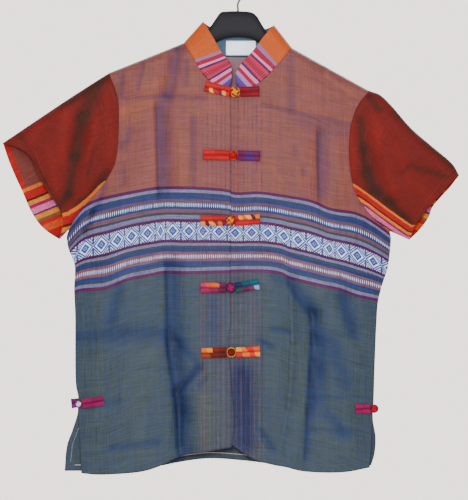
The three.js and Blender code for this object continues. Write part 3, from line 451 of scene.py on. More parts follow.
# Cloth taken up inside pressed folds: where, how wide, and how much, so that the pattern is eased.
TAKEN_UP = [(-122, 12, 12), (-180, 10, 4), (-62, 10, 4), (84, 8, 4), (153, 12, 9)]
TAKEN_STEEP = 3


def cloth_place(panel, x, z):
    """Across and down in the cut cloth, down counted from the top of the band."""
    top, low = (np.interp(x, *spline(line).T) for line in BAND[panel])
    tall = top - low
    inside = (top - z) / tall * BAND_TALL
    down = np.where(z > top, top - z, np.where(z < low, BAND_TALL + low - z, inside))
    across = x.copy()
    for place, wide, extra in TAKEN_UP:
        across += extra / (1 + np.exp(-(x - place) / wide * TAKEN_STEEP))
    return np.stack([across, down], axis=-1)


# The rows and columns of the panels' meshes, and the shares of the rows beside armhole and neck.
PANEL_ROWS, FRONT_COLUMNS, SHOULDER_COLUMNS, NECK_COLUMNS = 220, 108, 58, 74
ARMHOLE_ROWS, NECK_ROWS = 0.45, 0.18


def side_rows(upper, lower, share):
    """Points down one edge: a share of the rows on its upper line, the rest on its lower one."""
    above = round(PANEL_ROWS * share)
    return np.vstack([along(upper, above), along(lower, PANEL_ROWS - above)[1:]])


# Each panel's outline filled with rows of x and z, as it is seen from the front.
back_top = np.vstack([along([ARMHOLE_RIGHT[0], NECK_RIGHT[0]], SHOULDER_COLUMNS),
                      along(NECK_BACK_RIGHT + NECK_BACK_LEFT[-2::-1], NECK_COLUMNS)[1:],
                      along([NECK_LEFT[0], ARMHOLE_LEFT[0]], SHOULDER_COLUMNS)[1:]])
front_left_flat = patch(side_rows(ARMHOLE_LEFT, SIDE_LEFT, ARMHOLE_ROWS),
                        side_rows(NECK_LEFT, CENTRE_LEFT, NECK_ROWS),
                        along([ARMHOLE_LEFT[0], NECK_LEFT[0]], FRONT_COLUMNS),
                        along(HEM_LEFT, FRONT_COLUMNS))
front_right_flat = patch(side_rows(NECK_RIGHT, CENTRE_RIGHT, NECK_ROWS),
                         side_rows(ARMHOLE_RIGHT, SIDE_RIGHT, ARMHOLE_ROWS),
                         along([NECK_RIGHT[0], ARMHOLE_RIGHT[0]], FRONT_COLUMNS),
                         along(HEM_RIGHT, FRONT_COLUMNS))
back_flat = patch(side_rows(ARMHOLE_RIGHT, SIDE_BACK_RIGHT, ARMHOLE_ROWS),
                  side_rows(ARMHOLE_LEFT, SIDE_BACK_LEFT, ARMHOLE_ROWS), back_top,
                  along(HEM_BACK, 2 * SHOULDER_COLUMNS + NECK_COLUMNS))

# ---- body cloth: finish ---------------------------------------------------------------------------
# Shot silk: warm threads one way and cool ones the other. Through the creases' turn of colour, hollows
# are painted purple or blue and darker, as painted shade, and ridges orange or olive, as painted light.
# The band is woven in, with a supplementary white thread in its patterns.
# Both fronts and the back are then made from their outlines and given this cloth.
# The band's stripes: how far down it each starts, and its colour.
STRIPES = [
    (0.0, "480837"), (4.8, "6a618f"), (9.2, "28333c"), (12.8, "1c2a5e"), (19.8, "58394a"),
    (25.4, "1d2c5e"), (35.2, "653e49"), (40.6, "2b3138"), (44.6, "635e7f"), (50.6, "420738"),
    (55.8, "2a3973"), (83.8, "410632"), (87.8, "6a618a"), (92.2, "2d363d"), (95.8, "1d295a"),
    (102.0, "6a424e"), (117.0, "1e2d65"), (122.8, "2d393e"), (126.6, "686188"), (132.0, "4e1240"),
]
DIAMOND_TOP, DIAMOND_TALL, DIAMOND_WIDE, DIAMOND_START = 55.8, 28.0, 26.0, -230.5
# Rings of a diamond, by distance from its middle: 1 is where it meets the next ones.
RINGS = [(0.0, "2c3f84"), (0.13, "7084c0"), (0.27, "2c3f84"), (0.56, "d4daf2"), (0.80, "26397e"),
         (1.00, "b9c2e6"), (1.12, "2a3c80"), (1.30, "ccd3f0"), (1.46, "30427e"), (1.60, "ccd3f0")]
# Stems between the diamonds and teeth along them, as shares of a diamond's half and of a tooth's.
STEM_WIDE, STEM_FROM, TEETH_FROM, TEETH_CLEAR = 0.12, 0.34, 0.88, 0.27
# Rows of dots: their heights in the band, how far apart the dots are, and their least size and more.
DOT_ROWS, DOT_SPACING, DOT_SIZE, DOT_MORE = [(25.4, 32.0), (106.4, 113.0)], 3.3, 0.42, 0.18
# Fine lines in the warp beside the opening: how far apart, and where they start, end and fade.
PIN_SPACING, PINS_LEFT, PINS_RIGHT, PINS_FADE, PIN_WANDER = 7.2, -66, 46, 8, 11
PIN_DARK, PIN_PALE_FROM, PIN_PALE_TO = 0.17, 0.45, 0.75
# Noise in the cloth, by its turns in a metre across and down, and how much each turns the colours.
WEFT, WARP, CLOUD, CHECK, ROWS = (24, 430, 1), (400, 20, 1), (14, 9, 1), (120, 9, 1), (11, 130, 1)
SHOT_TURN, SHOT_WEIGHTS = 0.72, (0.34, 0.26, 0.36, 0.5, 0.5)
# The turn at which the painted shade of a hollow is at its darkest in the band, and how dark that is.
HOLLOW_FULL, HOLLOW_MOST = 1.1, 0.75
# Detail and roughness of the noise that draws single threads, and the scale of the crepe's grain.
FINE, CREPE = (3.0, 0.65), (900, 900, 1)


def cloth_mesh(name, grid, maps, around=False, flip=False):
    """A mesh through a grid of points in millimetres, with named values at its points.
    A pair of values becomes a UV map in metres and a single one a plain attribute."""
    rows, columns = grid.shape[:2]
    spans = columns if around else columns - 1
    i, j = np.meshgrid(np.arange(rows - 1), np.arange(spans), indexing="ij")
    right = (j + 1) % columns
    faces = np.stack([i * columns + j, (i + 1) * columns + j,
                      (i + 1) * columns + right, i * columns + right], axis=-1).reshape(-1, 4)
    if flip:
        faces = faces[:, ::-1]
    mesh = bpy.data.meshes.new(name)
    mesh.from_pydata((grid.reshape(-1, 3) * MM).tolist(), [], faces.tolist())
    corners = np.zeros(len(mesh.loops), int)
    mesh.loops.foreach_get("vertex_index", corners)
    for key, values in maps.items():
        if values.ndim == 3:
            layer = mesh.uv_layers.new(name=key)
            layer.data.foreach_set("uv", (values.reshape(-1, 2) * MM)[corners].ravel())
        else:
            layer = mesh.attributes.new(key, "FLOAT", "POINT")
            layer.data.foreach_set("value", values.ravel().astype(np.float32))
    mesh.polygons.foreach_set("use_smooth", [True] * len(mesh.polygons))
    return new_object(name, mesh)


def thicken(piece, thickness, outside, inside=None):
    """Gives a cloth surface its thickness, half on each side, and its finish on both."""
    modifier = piece.modifiers.new("cloth", "SOLIDIFY")
    modifier.thickness, modifier.offset = thickness * MM, 0
    modifier.use_even_offset = False
    piece.data.materials.append(outside)
    if inside:
        piece.data.materials.append(inside)
        modifier.material_offset = 1


def cut_area(grid, flat, digits=3):
    """The area of a grid of points in square metres, at most that of the flat size round it."""
    a = np.cross(grid[1:, 1:] - grid[:-1, :-1], grid[1:, :-1] - grid[:-1, 1:])
    area = float(np.linalg.norm(a, axis=2).sum() / 2 * MM * MM)
    return min(round(area, digits), flat[0] * flat[1])


def ramp(tree, stops, at, soft=False):
    """Colours along a value from 0 to 1, in steps or running softly into each other."""
    node = tree.nodes.new("ShaderNodeValToRGB")
    colours = node.color_ramp
    colours.interpolation = "LINEAR" if soft else "CONSTANT"
    colours.elements.remove(colours.elements[1])
    colours.elements[0].position, colours.elements[0].color = stops[0][0], linear(stops[0][1])
    for place, code in stops[1:]:
        colours.elements.new(place).color = linear(code)
    tree.links.new(at.socket, node.inputs[0])
    return Shade(tree, node.outputs[0])


def grain(tree, place, scale, detail=2.0, roughness=0.5):
    """Noise with a scale of its own along each axis, so that it can be drawn out like thread."""
    stretched = add_node(tree, "ShaderNodeMapping", {}, {"Vector": place, "Scale": scale})
    return noise(tree, stretched, 1.0, detail, roughness)


def tinted(tree, colour, amount, threads, dark):
    """A colour darkened between the threads, by an amount, towards a dark grey."""
    tones = mix(tree, threads, linear(dark), linear("ffffff"))
    return mix(tree, amount, colour, tones, "MULTIPLY")


def about(value, reach):
    """A noise turned to swing about nothing, by half a reach to each side."""
    return (value - 0.5) * reach


def cut_place(tree):
    """The place in the cut cloth, in metres."""
    return add_node(tree, "ShaderNodeUVMap", {"uv_map": "cloth"})


def sharpen(tree, value, low=0.32, high=0.68):
    """A noise stretched to the whole range from 0 to 1."""
    return add_node(tree, "ShaderNodeMapRange", {"clamp": True}, {0: value, 1: low, 2: high})


def cut_axes(tree, place):
    """The two axes of a place in the cut cloth, in millimetres."""
    axes = tree.nodes.new("ShaderNodeSeparateXYZ")
    tree.links.new(place.socket, axes.inputs[0])
    return [Shade(tree, axes.outputs[k]) * PER_METRE for k in (0, 1)]


def point_value(tree, name):
    """A value that the mesh carries at its points."""
    return add_node(tree, "ShaderNodeAttribute", {"attribute_name": name}, output=2)


def lay(tree, shader, colour, roughness, height, depth):
    """Gives a shader its colour, its roughness, and a relief from 0 to a depth in metres."""
    bump = add_node(tree, "ShaderNodeBump", {}, {"Height": height, "Distance": depth})
    for result, key in ((colour, "Base Color"), (roughness, "Roughness"), (bump, "Normal")):
        tree.links.new(result.socket, shader.inputs[key])


def silk_finish(name, inside=False):
    """The shirt's own cloth. Its wrong side is lighter above the band, as painted light on the inside of
    the back where it shows through the neck.
    """
    material, tree, shader = new_finish(name, sheen_weight=0.05, sheen_roughness=0.4,
                                        specular_ior_level=0.14)
    place = cut_place(tree)
    across, down = cut_axes(tree, place)
    turn, pins = point_value(tree, "turn"), point_value(tree, "pins")
    weft, warp = (sharpen(tree, grain(tree, place, scale, *FINE)) for scale in (WEFT, WARP))
    cloud, check, rows = (grain(tree, place, scale) for scale in (CLOUD, CHECK, ROWS))
    # The creases' turn of colour paints shade in hollows and light on ridges, and the threads' noise
    # varies it.
    shot = turn * SHOT_TURN
    for threads, weight in zip((weft, warp, cloud, check, rows), SHOT_WEIGHTS):
        shot = shot + about(threads, weight)
    shot = shot * 0.5 + 0.5
    # Each ramp runs from warm and light to cool and dark. Its dark end is painted shade in the deepest
    # hollows.
    upper = ramp(tree, [(0.06, "a85834"), (0.32, "884936"), (0.50, "784038"), (0.70, "63363f"),
                        (0.92, "4a2d46"), (1.0, "3a2838")], shot, soft=True)
    lower = ramp(tree, [(0.06, "4a4e3c"), (0.30, "3c4741"), (0.50, "333e48"), (0.70, "26344b"),
                        (0.90, "1a284c"), (1.0, "182034")], shot, soft=True)
    # The band's stripes, their edges wavering by a thread.
    waver = down + about(grain(tree, place, (260, 60, 1)), 1.4)
    bands = ramp(tree, [(at / BAND_TALL, code) for at, code in STRIPES], waver / BAND_TALL)
    # Diamonds in rows of rings, with crossings and small trees between them.
    wide = abs((across - DIAMOND_START) / DIAMOND_WIDE % 1.0 - 0.5) * 2
    tall = abs((waver - DIAMOND_TOP) / DIAMOND_TALL - 0.5) * 2
    rings = ramp(tree, [(at / 2, code) for at, code in RINGS], (wide + tall) / 2)
    stem = (1 - wide < STEM_WIDE) * (tall > STEM_FROM)
    teeth = (tall > TEETH_FROM) * (abs(across / DOT_SPACING % 1.0 - 0.5) > TEETH_CLEAR)
    figure = mix(tree, stem, rings, linear("334179"))
    figure = mix(tree, teeth, figure, linear("572750"))
    in_figure = (waver > DIAMOND_TOP) * (waver < DIAMOND_TOP + DIAMOND_TALL)
    woven = mix(tree, in_figure, bands, figure)
    beat = grain(tree, place, (150, 3, 1)) > 0.42
    for top, low in DOT_ROWS:
        beside = abs(across / DOT_SPACING % 1.0 - 0.5) * 2
        above = abs(waver - (top + low) / 2) / ((low - top) / 2)
        dots = beside + above * 0.4 < DOT_SIZE + beat * DOT_MORE
        woven = mix(tree, dots * (above < 1.0), woven, linear("b6bede"))
    # Painted shade: hollows darken and cool the band, unevenly.
    deep = turn + about(warp, 0.3) + about(check, 1.2)
    hollow_shade = add_node(tree, "ShaderNodeMapRange", {"clamp": True},
                      {0: deep, 1: 0.0, 2: HOLLOW_FULL, 3: 0.0, 4: HOLLOW_MOST})
    woven = mix(tree, hollow_shade, woven, linear("6878b4"), "MULTIPLY")
    in_band = (waver > 0) * (waver < BAND_TALL)
    colour = mix(tree, waver > 0, upper, woven)
    colour = mix(tree, waver > BAND_TALL, colour, lower)
    # Fine dark and pale warp lines down both sides of the front opening.
    line = (across + about(grain(tree, place, (75, 0.6, 1)), PIN_WANDER)) / PIN_SPACING % 1.0
    gleam = grain(tree, place, (150, 60, 1))
    dark = (line < PIN_DARK) * pins * sharpen(tree, gleam, 0.35, 0.6) * (0.5 - in_band * 0.25)
    pale = (line > PIN_PALE_FROM) * (line < PIN_PALE_TO) * pins * (1 - gleam) * (0.36 - in_band * 0.28)
    colour = mix(tree, dark, colour, linear("4f1a39"))
    colour = mix(tree, pale, colour, linear("74485c"))
    colour = tinted(tree, colour, 0.95, weft * 0.5 + warp * 0.5, "868686")
    # Painted light: the wrong side is lightened above the band, where the inside of the back shows through
    # the neck.
    if inside:
        colour = mix(tree, (waver < 0) * 0.28, colour, linear("a08a8c"))
    crepe = grain(tree, place, CREPE)
    soft = grain(tree, place, (45, 30, 1), 3.0)
    lay(tree, shader, colour, 0.58 + about(warp, 0.3),
        weft * 0.12 + warp * 0.10 + crepe * 0.06 + soft * 0.7, 0.0011)
    return material


shirt_silk = silk_finish("shirt_silk")
shirt_silk_inside_painted_light = silk_finish("shirt_silk_inside_painted_light", True)
for node, outline, height, flat in (
    ("front_left", front_left_flat, front_left_y, (0.29, 0.70)),
    ("front_right", front_right_flat, front_right_y, (0.30, 0.70)),
    ("back", back_flat, back_y, (0.54, 0.70)),
):
    x, z = outline[..., 0], outline[..., 1]
    grid = np.stack([x, height(x, z), z], axis=-1)
    behind = node == "back"
    pins = np.clip((x - PINS_LEFT) / PINS_FADE, 0, 1) * np.clip((PINS_RIGHT - x) / PINS_FADE, 0, 1)
    turn = body_depth("back" if behind else "front", x, z)[1]
    piece = cloth_mesh(node, grid, {"cloth": cloth_place(node, x, z),
                                    "turn": np.minimum(turn, TURN_MOST), "pins": pins * (not behind)})
    thicken(piece, CLOTH, shirt_silk, shirt_silk_inside_painted_light if behind else None)
    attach(piece, "root")
    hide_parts(node)
    area = cut_area(grid, flat)

# ---- sleeves --------------------------------------------------------------------------------------
# Each sleeve is one open tube of red silk shot with dark thread, sewn to the armhole. It was cut
# with the cloth's striped edge at its underarm and hem, so the stripes show low and in the opening.
# The sleeve's cloth lies off the body's at the turned seam, and runs on under it for a little way.
TURNED_SEAM, SEAM_UNDER, SEAM_LOWER, UNDER_FADE = 0.9, 1.5, 1.1, 45
CUFF_DEPTH, SLEEVE_PUFF, SLEEVE_PLAIN, THINNEST_HALF = 13, 6, 0.25, 0.6
HALF_ROUND, SLEEVE_LONG, BACK_TURN = 250, 190, 0.6
SLEEVE_AROUND, SLEEVE_REACH = 90, 100
# Distances from the top fold that the first rows keep, and the shares of the way where they lie.
TOP_TURN, TOP_TURN_SHARES = [0, 2.5, 7, 14], [0, 1 / 14, 2 / 14, 3 / 14]
# Each sleeve: its top fold, its cuff in front and behind, folds and creases like the body's, the line
# in front from which its border runs, and inside it a point on that line and the way across it.
SLEEVES = {
    "sleeve_left": {
        "armhole": ARMHOLE_LEFT, "away": -1, "flat": (0.50, 0.20),
        "top": [(-205.6, -174.2), (-268, -214.2), (-375.4, -286.2)],
        "front_cuff": [(-375.4, -286.2), (-352, -293), (-333, -306), (-318.5, -338),
                       (-301.6, -366.2), (-287.2, -387.6), (-278, -408.6), (-284.5, -440.4)],
        "back_cuff": [(-375.4, -286.2), (-367, -312), (-355.6, -340), (-344.8, -363),
                      (-331, -395), (-316.3, -417.4), (-301.6, -430.2), (-284.5, -440.4)],
        "folds": [(-222, -205, -250, -275, 18, 18, -4, 0), (-250, -275, -274, -372, 17, 17, -5, 0),
                  (-230, -215, -236, -330, 14, 14, 1.5, 0)],
        "creases": [
            (-223, -192, -247, -245, 12, 12, -0.5, 0.8), (-247, -245, -260, -307, 10, 10, -0.5, 0.85),
            (-260, -307, -270, -369, 8, 8, -0.6, 0.9), (-270, -369, -286, -389, 6, 6, -1, 0.9),
            (-207, -179, -281, -229, 6, 6, 0, 0.7), (-230, -293, -238, -336, 5, 5, -1.5, 0.45),
            (-209, -333, -217, -345, 6, 6, 0, 0.7), (-217, -349, -255, -385, 6, 6, -0.5, 0.75),
            (-207, -214, -201, -307, 10, 8, 0.8, -0.35), (-274, -237, -281, -313, 11, 11, 0.8, -0.5),
            (-236, -361, -246, -371, 6, 6, 0.5, -0.4), (-316, -257, -332, -289, 10, 10, 0.5, -0.4),
            (-303, -297, -287, -361, 8, 8, 0.6, -0.35), (-225, -249, -239, -313, 6, 6, 0.8, -0.45),
            (-348, -273, -332, -297, 5, 5, -0.5, 0.5), (-329, -310, -308, -347, 4, 4, -1.2, 0.6),
            (-308, -347, -286, -384, 4, 4, -1.2, 0.6)],
        "border": [(-206, -341), (-220, -353), (-233, -367), (-246, -379), (-259, -389),
                   (-272, -397), (-286, -401)],
        "border_scale": 1.0, "inside_start": (-337, -357), "inside_way": (0.38, -0.925)},
    "sleeve_right": {
        "armhole": ARMHOLE_RIGHT, "away": 1, "flat": (0.48, 0.19),
        "top": [(211.4, -203), (226.4, -207.8), (244, -223.8), (277.6, -262.2), (312.8, -292.6),
                (344, -319.8), (354.4, -337.4)],
        "front_cuff": [(354.4, -337.4), (338.4, -352.6), (324, -368.6), (311.2, -383),
                       (300, -396.6), (288.8, -411.8), (280.8, -427), (275, -441.4)],
        "back_cuff": [(354.4, -337.4), (340, -356.6), (324, -374.2), (312, -389.4), (306.4, -404.6),
                      (296.8, -419), (285.6, -431.8), (275, -441.4)],
        "folds": [(192, -252, 206, -310, 14, 14, -3, 0), (206, -310, 244, -398, 16, 16, -4, 0),
                  (262, -326, 322, -334, 12, 12, -3, 0)],
        "creases": [
            (194, -248, 199, -296, 8, 5, -0.6, 0.7), (199, -296, 205, -336, 11, 6, -0.6, 0.85),
            (205, -336, 218, -363, 11, 8, -0.6, 0.85), (218, -363, 241, -381, 10, 8, -0.6, 0.85),
            (241, -381, 265, -405, 7, 7, -1, 0.9), (265, -405, 279, -417, 6, 6, -0.5, 0.8),
            (211, -214, 225, -232, 6, 6, -0.6, 0.8), (252, -237, 348, -328, 6, 6, 0, 0.7),
            (262, -333, 278, -322, 5, 5, -0.6, 0.6), (287, -327, 334, -339, 5, 5, -0.8, 0.65),
            (182, -249, 185, -339, 5, 5, 0.5, -0.6), (218, -246, 225, -297, 10, 10, 0.8, -0.5),
            (252, -297, 276, -349, 11, 11, 0.8, -0.35), (236, -321, 247, -361, 8, 8, 0.6, -0.4),
            (292, -361, 308, -377, 8, 8, 0.5, -0.3), (238, -257, 222, -273, 8, 8, 0.4, -0.3)],
        "border": [(181, -347), (198, -360), (216, -373), (234, -387), (252, -400), (278, -418)],
        "border_scale": 1.8, "inside_start": (327, -358), "inside_way": (-0.38, -0.925)},
}
SLEEVE_WEFT, SLEEVE_WARP = (620, 40, 1), (34, 560, 1)
# The striped border, by its distance from the plain cloth, and the red line of the turned hem.
BORDER_WIDE, HEM_LINE = 100, 9
BORDER = [(0, "cd6613"), (5.5, "a50d08"), (18, "450d08"), (22, "cd7318"), (29, "8b0c46"),
          (34, "cd5d88"), (44, "551c45"), (47, "d17315"), (55, "5c5024"), (59, "a50f09"),
          (66, "be3f0b"), (78, "9a0f09"), (90, "62120c")]


def eased_along(points, count):
    """Points on the smooth line through a table, closer together where the cloth turns at its top."""
    line = spline(points)
    ends = TOP_TURN + [run_of(line)[-1]]
    return points_at(line, np.interp(np.linspace(0, 1, count + 1), TOP_TURN_SHARES + [1], ends))


def past_line(line, x, z):
    """Distance from a line through points, positive below it."""
    best = np.full(x.shape, 1e9)
    for (x0, z0), (x1, z1) in zip(line[:-1], line[1:]):
        length = math.hypot(x1 - x0, z1 - z0)
        run = np.clip(((x - x0) * (x1 - x0) + (z - z0) * (z1 - z0)) / length**2, 0, 1)
        best = np.minimum(best, np.hypot(x - x0 - run * (x1 - x0), z - z0 - run * (z1 - z0)))
    below = z < np.interp(x, *np.array(sorted(line)).T)
    return np.where(below, best, -best)


def sleeve_half(made, height, facing):
    """The places of one half of a sleeve, from its top fold to the underarm, and its values."""
    armhole, away = made["armhole"], made["away"]
    cuff = made["front_cuff"] if facing < 0 else made["back_cuff"]
    seam, end = eased_along(armhole, SLEEVE_AROUND), eased_along(cuff, SLEEVE_AROUND)
    fold = along(made["top"], SLEEVE_REACH)
    under = along([armhole[-1], cuff[-1]], SLEEVE_REACH)
    flat = patch(seam, end, fold, under)
    x, z = flat[..., 0], flat[..., 1]
    run = unit(np.gradient(seam, axis=0))
    share = np.linspace(0, 1, SLEEVE_AROUND + 1)[:, None]
    reach = np.linspace(0, 1, SLEEVE_REACH + 1)[None, :]
    rounded = np.sqrt(np.clip(np.sin(np.pi * share), 0, 1))
    seam_depth = np.abs(height(seam[:, 0], seam[:, 1]))[:, None]
    rise, turn = creased(made["folds"] + made["creases"], x, z)
    # The back half keeps a weaker turn of colour, its painted shade and light, but none of the relief.
    if facing > 0:
        rise, turn = rise * 0, turn * BACK_TURN
    depth = (seam_depth * (1 - reach) + CUFF_DEPTH * rounded * reach
             + SLEEVE_PUFF * rounded * np.sin(np.pi * reach)
             + rise * rounded * np.minimum(1, reach / SLEEVE_PLAIN))
    closed = (share == 0) | (share == 1)
    under_body = np.exp(-reach * UNDER_FADE)
    y = np.where(closed, 0, facing * np.maximum(depth - SEAM_LOWER * under_body,
                                                CLOTH * THINNEST_HALF))
    shift = (TURNED_SEAM - (TURNED_SEAM + SEAM_UNDER) * under_body) * away
    grid = np.stack([x - run[:, 1:] * shift, y, z + run[:, :1] * shift], axis=-1)
    round_arm, along_arm = share * HALF_ROUND + 0 * x, reach * SLEEVE_LONG + 0 * x
    if facing < 0:
        border = past_line(made["border"], x, z) * made["border_scale"]
    else:
        start, way = made["inside_start"], made["inside_way"]
        border = (x - start[0]) * way[0] + (z - start[1]) * way[1]
    return grid, {"cloth": np.stack([round_arm, along_arm], axis=-1), "turn": turn,
                  "border": border, "hem": (1 - reach) * SLEEVE_LONG + 0 * x}


def red_silk_finish(name, inside=False):
    """The sleeves' cloth. Its wrong side is paler, with a line of red along the turned hem."""
    material, tree, shader = new_finish(name, sheen_weight=0.04, sheen_roughness=0.4,
                                        specular_ior_level=0.08)
    place = cut_place(tree)
    turn, border, hem = (point_value(tree, name) for name in ("turn", "border", "hem"))
    weft, warp = (sharpen(tree, grain(tree, place, scale, *FINE))
                  for scale in (SLEEVE_WEFT, SLEEVE_WARP))
    cloud = grain(tree, place, (18, 18, 1))
    # The creases' turn of colour paints shade in the folds and light on the ridges, from light red to dark
    # brown.
    shot = (turn * 0.7 + about(weft, 0.5) + about(warp, 0.5) + about(cloud, 0.3)) * 0.5 + 0.5
    plain = ramp(tree, [(0.10, "81140c"), (0.34, "6f120b"), (0.52, "62110a"), (0.74, "471309"),
                        (0.94, "341409")], shot, soft=True)
    if inside:
        plain = mix(tree, 0.7, plain, linear("753931"))
    wave = border + about(grain(tree, place, (60, 60, 1)), 2.0)
    striped = ramp(tree, [(at / BORDER_WIDE, code) for at, code in BORDER], wave / BORDER_WIDE)
    colour = mix(tree, wave > 0, plain, striped)
    if inside:
        colour = mix(tree, (hem < HEM_LINE) * (wave < 0), colour, linear("9f0f09"))
    colour = mix(tree, (1 - warp) * 0.22, colour, linear("4c2c28"))
    colour = tinted(tree, colour, 0.9, weft * 0.6 + warp * 0.4, "8e8e8e")
    crepe = grain(tree, place, CREPE)
    soft = grain(tree, place, (45, 38, 1), 3.0)
    lay(tree, shader, colour, 0.60 + about(warp, 0.3),
        weft * 0.22 + warp * 0.18 + crepe * 0.1 + soft * 0.25, 0.0012)
    return material


def tube(front, rear):
    """Rows round a sleeve from its front half, and back along its rear half between their folds."""
    return np.concatenate([front, rear[-2:0:-1]]).swapaxes(0, 1)


red_silk = red_silk_finish("sleeve_silk")
red_silk_inside = red_silk_finish("sleeve_silk_inside", True)
sleeve_grids = {}
for name, made in SLEEVES.items():
    front, front_maps = sleeve_half(made, front_left_y, -1)
    rear, rear_maps = sleeve_half(made, back_y, 1)
    ring = tube(front, rear)
    maps = {key: tube(values, rear_maps[key]) for key, values in front_maps.items()}
    sleeve = cloth_mesh(name, ring, maps, around=True, flip=made["away"] > 0)
    thicken(sleeve, CLOTH, red_silk, red_silk_inside)
    sleeve_grids[name] = ring
    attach(sleeve, "root")
    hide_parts(name)
    flat = made["flat"]
    area = cut_area(ring, flat)

# ---- collar ---------------------------------------------------------------------------------------
# A stand collar in two layers: outside, plain orange with a patterned striped strip at each front
# end, and inside, dark teal. A blank satin tag is sewn inside the back of the neck.
# Both front ends, from the shoulder in: x and z on the neck seam, then x and z on the top edge.
COLLAR_LEFT = [(-84, -125.4, -55.2, -92.6), (-76, -139, -40.8, -115.8), (-67.5, -153.1, -28, -138.2),
               (-60, -166.8, -19.2, -151), (-46.4, -183.8, -11.2, -163), (-33.6, -193.4, -10.1, -176.6),
               (-23.2, -197.2, -10.4, -185.4), (-13.6, -198.2, -12.3, -193.4)]
COLLAR_RIGHT = [(84.8, -132.6, 58.4, -98.2), (69.6, -153.4, 42.4, -116.6), (55.8, -167.8, 25.4, -139.6),
                (45.6, -179.8, 16, -149.4), (31.2, -190.9, 4.8, -163), (18.4, -198.2, -1.9, -175),
                (10.4, -200.3, -2.4, -186.2), (4, -200.6, 0.8, -195.4)]
COLLAR_TOP_LEFT = [(-55.2, -92.6), (-44, -99.8), (-24.8, -104.6), (0, -106.2)]
COLLAR_TOP_RIGHT = [(58.4, -98.2), (45.6, -103.2), (24, -105.4), (0, -106.2)]
COLLAR_LEAN, COLLAR_FRONT_STEPS, COLLAR_BACK_STEPS, COLLAR_ROWS = 0.85, 48, 34, 22
COLLAR_UNDER, COLLAR_PLY, PLY_APART_FOOT, PLY_APART_TOP = 1.2, 0.9, 1.15, 0.6
COLLAR_FRONT_RUN, COLLAR_ROLL_STEPS = 74, 7
# The strip's stripes, from the front edge: where each starts, as a share of the strip, and its colour.
COLLAR_STRIPES = [(0, "4b2c6f"), (0.18, "855a8e"), (0.28, "880828"), (0.36, "c66489"), (0.44, "2f1949"),
                  (0.49, "aa1531"), (0.74, "2f1949"), (0.79, "c8688c"), (0.85, "880828"),
                  (0.94, "77557f")]
# Figures down two of the stripes: how far apart, their share of that, from where to where across the
# strip, how strong, and their colour.
COLLAR_FIGURES = [(3.6, 0.46, 0.55, 0.66, 0.95, "31183d"), (2.6, 0.5, 0.18, 0.28, 0.4, "b27f8d")]


def collar_front(pairs, height):
    """The neck seam and the top edge of one front end, from rows of both."""
    posts = along(pairs, COLLAR_FRONT_STEPS)
    y = height(posts[:, 0], posts[:, 1])
    y[0] = 0
    seam = np.stack([posts[:, 0], y, posts[:, 1]], axis=1)
    return seam, np.stack([posts[:, 2], y * COLLAR_LEAN, posts[:, 3]], axis=1)


def collar_back(neck, top_edge):
    """The neck seam and the top edge of one half of the back."""
    seam, top = along(neck, COLLAR_BACK_STEPS), along(top_edge, COLLAR_BACK_STEPS)
    y = back_y(seam[:, 0], seam[:, 1])
    return (np.stack([seam[:, 0], y, seam[:, 1]], axis=1),
            np.stack([top[:, 0], y * COLLAR_LEAN, top[:, 1]], axis=1))


def offset_grid(grid, distance):
    """A grid moved out along its own normals."""
    across, down = np.gradient(grid, axis=1), np.gradient(grid, axis=0)
    return grid + unit(np.cross(down, across)) * distance


# The neck seam and the top edge all round, from the right front end to the left one.
halves = [collar_front(COLLAR_RIGHT, front_right_y), collar_back(NECK_BACK_RIGHT, COLLAR_TOP_RIGHT),
          collar_back(NECK_BACK_LEFT, COLLAR_TOP_LEFT), collar_front(COLLAR_LEFT, front_left_y)]
seam_line, top_line = (
    np.concatenate([halves[0][k][::-1], halves[1][k][1:], halves[2][k][-2:0:-1], halves[3][k]])
    for k in (0, 1))
stand = unit(top_line - seam_line)
collar_run = run_of(seam_line)
from_front = np.minimum(collar_run, collar_run[-1] - collar_run)


def collar_grid(side):
    """One layer of the collar, from its top edge down past the neck seam: side 1 lies outside."""
    share = np.linspace(0, 1, COLLAR_ROWS + 1)[:, None, None]
    grid = top_line * (1 - share) + (seam_line - stand * COLLAR_UNDER) * share
    apart = (PLY_APART_TOP + (PLY_APART_FOOT - PLY_APART_TOP) * share) * side
    grid = offset_grid(grid, apart)
    if side < 0:
        return grid
    turn = np.linspace(0, math.pi, COLLAR_ROLL_STEPS)[:-1, None, None]
    normal = offset_grid(grid, 1.0)[:1] - grid[:1]
    rolled = (grid[:1] - normal * PLY_APART_TOP * (1 + np.cos(turn))
              + stand[None] * PLY_APART_TOP * np.sin(turn))
    return np.concatenate([rolled, grid])


def collar_maps(grid):
    """A layer's places in the cut cloth: how far from the front edge, and how far up."""
    height = np.linalg.norm(grid - grid[-1:], axis=-1)
    return {"cloth": np.stack([from_front[None, :] + 0 * height, height], axis=-1)}


